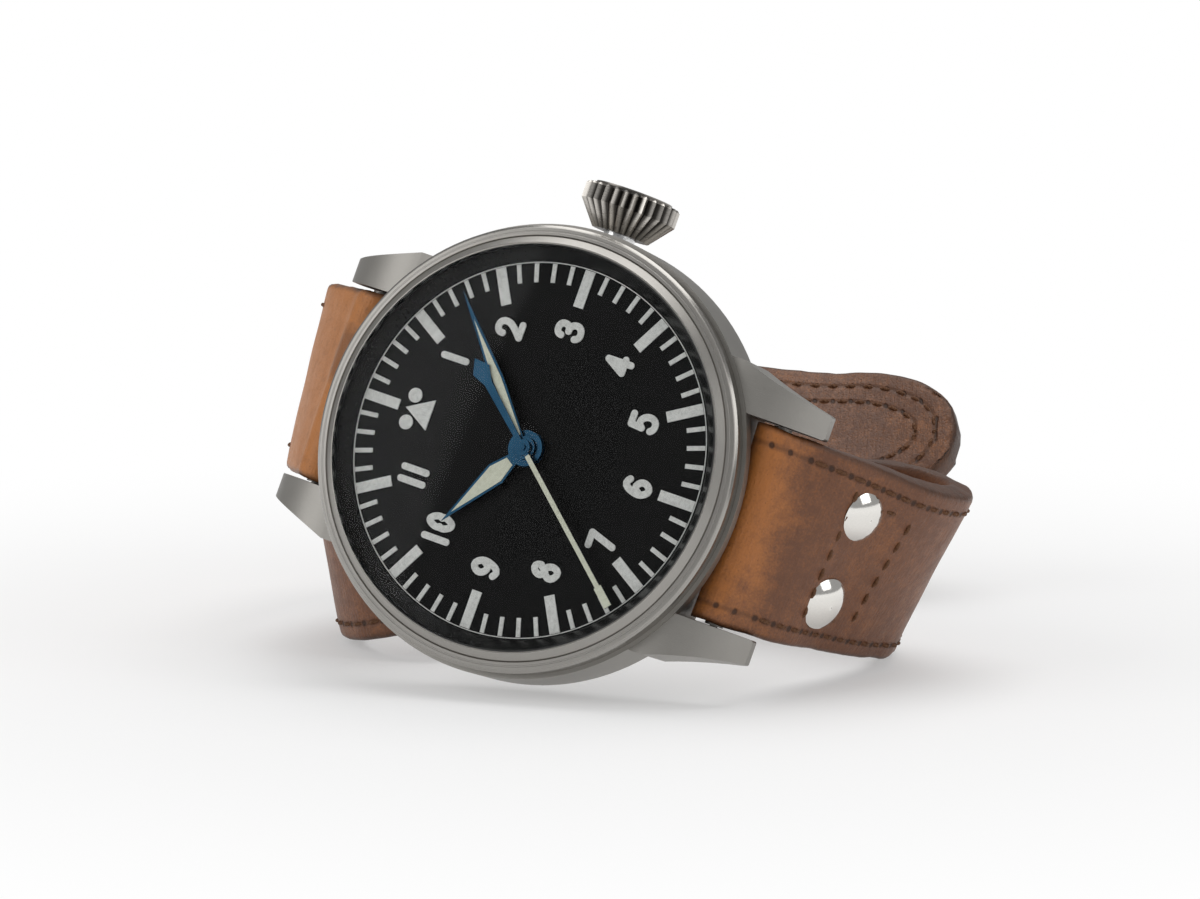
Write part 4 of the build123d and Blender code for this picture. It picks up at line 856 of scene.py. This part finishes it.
def keeper(name, body, node, where):
    ring = bmesh.new()
    bmesh.ops.create_cone(ring, cap_ends=False, segments=64, radius1=1.0, radius2=1.0,
                          depth=keeper_long)
    bmesh.ops.subdivide_edges(ring, edges=[line for line in ring.edges if abs(
        line.verts[0].co.z - line.verts[1].co.z) > 1], cuts=5)
    half_w = buckle_half(where) + keeper_gap + keeper_t
    half_h = (strap_t + 2 * keeper_gap + fold_room) / 2 + keeper_t
    corner = 1.3
    for vertex in ring.verts:
        turn = math.atan2(vertex.co.y, vertex.co.x)
        far = max(abs(math.cos(turn)) / half_w, abs(math.sin(turn)) / half_h)
        x, y = math.cos(turn) / far, math.sin(turn) / far
        inner_x = min(max(x, corner - half_w), half_w - corner)
        inner_y = min(max(y, corner - half_h), half_h - corner)
        off = Vector((x - inner_x, y - inner_y))
        if off.length > corner:
            off = off.normalized() * corner
        vertex.co.x, vertex.co.y = inner_x + off.x, inner_y + off.y
    bmesh.ops.recalc_face_normals(ring, faces=ring.faces[:])
    bmesh.ops.solidify(ring, geom=ring.faces[:], thickness=keeper_t)
    bmesh.ops.recalc_face_normals(ring, faces=ring.faces[:])
    sharp = [line for line in ring.edges if line.calc_face_angle(0) > 1]
    bmesh.ops.bevel(ring, geom=sharp, offset=0.2, segments=2, profile=0.5,
                    affect="EDGES", material=-1)
    place_note = ring.verts.layers.float_vector.new("flat")
    rim_note = ring.verts.layers.float.new("rim")
    ahead = bent(buckle_route, -1, 0, where + 0.5, 0) - bent(buckle_route, -1, 0, where - 0.5, 0)
    for vertex in ring.verts:
        u, h, v = vertex.co
        vertex[place_note] = (u, v + 20, h)
        vertex[rim_note] = keeper_long / 2 - abs(v)
        vertex.co = bent(buckle_route, -1, u, where, h + fold_room / 2) + ahead * v
    bmesh.ops.recalc_face_normals(ring, faces=ring.faces[:])
    piece = finish_piece(name, ring)
    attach(piece, body)
    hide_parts(node)
    piece.data.materials.append(leather_6_finish.material)


keeper("fixed_keeper_leather", "strap_6", "fixed_keeper", 83.0)
keeper("free_keeper_leather", "free_keeper", "free_keeper", 72.0)

# %% [markdown]
# ## Floor and studio
# The photograph has a white table that runs into a white wall, and only a soft shadow under the
# watch. The floor is a pale plane. Seen by the camera or in the metal it turns into plain white away
# from the watch, which loses the horizon and keeps the shadow.

# %% Floor
plane = bmesh.new()
bmesh.ops.create_grid(plane, x_segments=8, y_segments=8, size=3.0)
floor_mesh = bpy.data.meshes.new("floor")
plane.to_mesh(floor_mesh)
plane.free()
floor = bpy.data.objects.new("floor", floor_mesh)
bpy.context.scene.collection.objects.link(floor)

paper = Finish("paper", Base_Color=rgb(0.93, 0.93, 0.93), Roughness=0.6, Specular_IOR_Level=0.0)
point = paper.node("ShaderNodeTexCoord", out="Object")
away = paper.node("ShaderNodeVectorMath", {"operation": "LENGTH"}, {0: point}, out="Value")
seen = paper.node("ShaderNodeLightPath", out="Is Camera Ray")
mirrored = paper.node("ShaderNodeLightPath", out="Is Glossy Ray")
passed = paper.node("ShaderNodeLightPath", out="Is Transmission Ray")
looked_at = seen.maths("MAXIMUM", seen, passed)
looked_at = looked_at.maths("MAXIMUM", looked_at, mirrored)
glow = paper.node("ShaderNodeEmission", None, {"Color": rgb(1, 1, 1), "Strength": 1.0})
share = looked_at * (0.35 + rise(away, 0.03, 0.14) * 0.65)
surface = Wire(paper, paper.shader.outputs[0])
whitened = paper.node("ShaderNodeMixShader", None, {0: share, 1: surface, 2: glow})
paper.plug(paper.tree.nodes["Material Output"].inputs["Surface"], whitened)
floor_mesh.materials.append(paper.material)

# %% [markdown]
# The light is a large soft lamp from above and behind, a softer one from the left and a weak one in
# front. Polished metal shows its surroundings, so the world is grey to light and to mirrors, and
# white only where the camera looks past everything.

# %% World and lamps
world = bpy.data.worlds.new("studio")
bpy.context.scene.world = world
world.use_nodes = True
tree = world.node_tree
tree.nodes.clear()
path = tree.nodes.new("ShaderNodeLightPath")
soft = tree.nodes.new("ShaderNodeBackground")
soft.inputs["Color"].default_value = rgb(1.0, 1.0, 1.0)
soft.inputs["Strength"].default_value = 0.36
white = tree.nodes.new("ShaderNodeBackground")
white.inputs["Strength"].default_value = 1.0
white.inputs["Color"].default_value = rgb(1, 1, 1)
either = tree.nodes.new("ShaderNodeMixShader")
tree.links.new(path.outputs["Is Camera Ray"], either.inputs[0])
tree.links.new(soft.outputs[0], either.inputs[1])
tree.links.new(white.outputs[0], either.inputs[2])
end = tree.nodes.new("ShaderNodeOutputWorld")
tree.links.new(either.outputs[0], end.inputs["Surface"])


def lamp(name, place, size, power):
    """A square soft lamp that faces the watch."""
    data = bpy.data.lights.new(name, "AREA")
    data.size = size
    data.energy = power
    made = bpy.data.objects.new(name, data)
    bpy.context.scene.collection.objects.link(made)
    made.location = place
    made.rotation_euler = (dial_centre - Vector(place)).to_track_quat("-Z", "Y").to_euler()


lamp("top_lamp", (0.05, 0.10, 0.55), 0.50, 1.7)
lamp("left_lamp", (-0.50, -0.20, 0.30), 0.40, 0.8)
lamp("right_lamp", (0.50, -0.25, 0.25), 0.30, 0.5)
bpy.context.scene.view_settings.view_transform = "Standard"
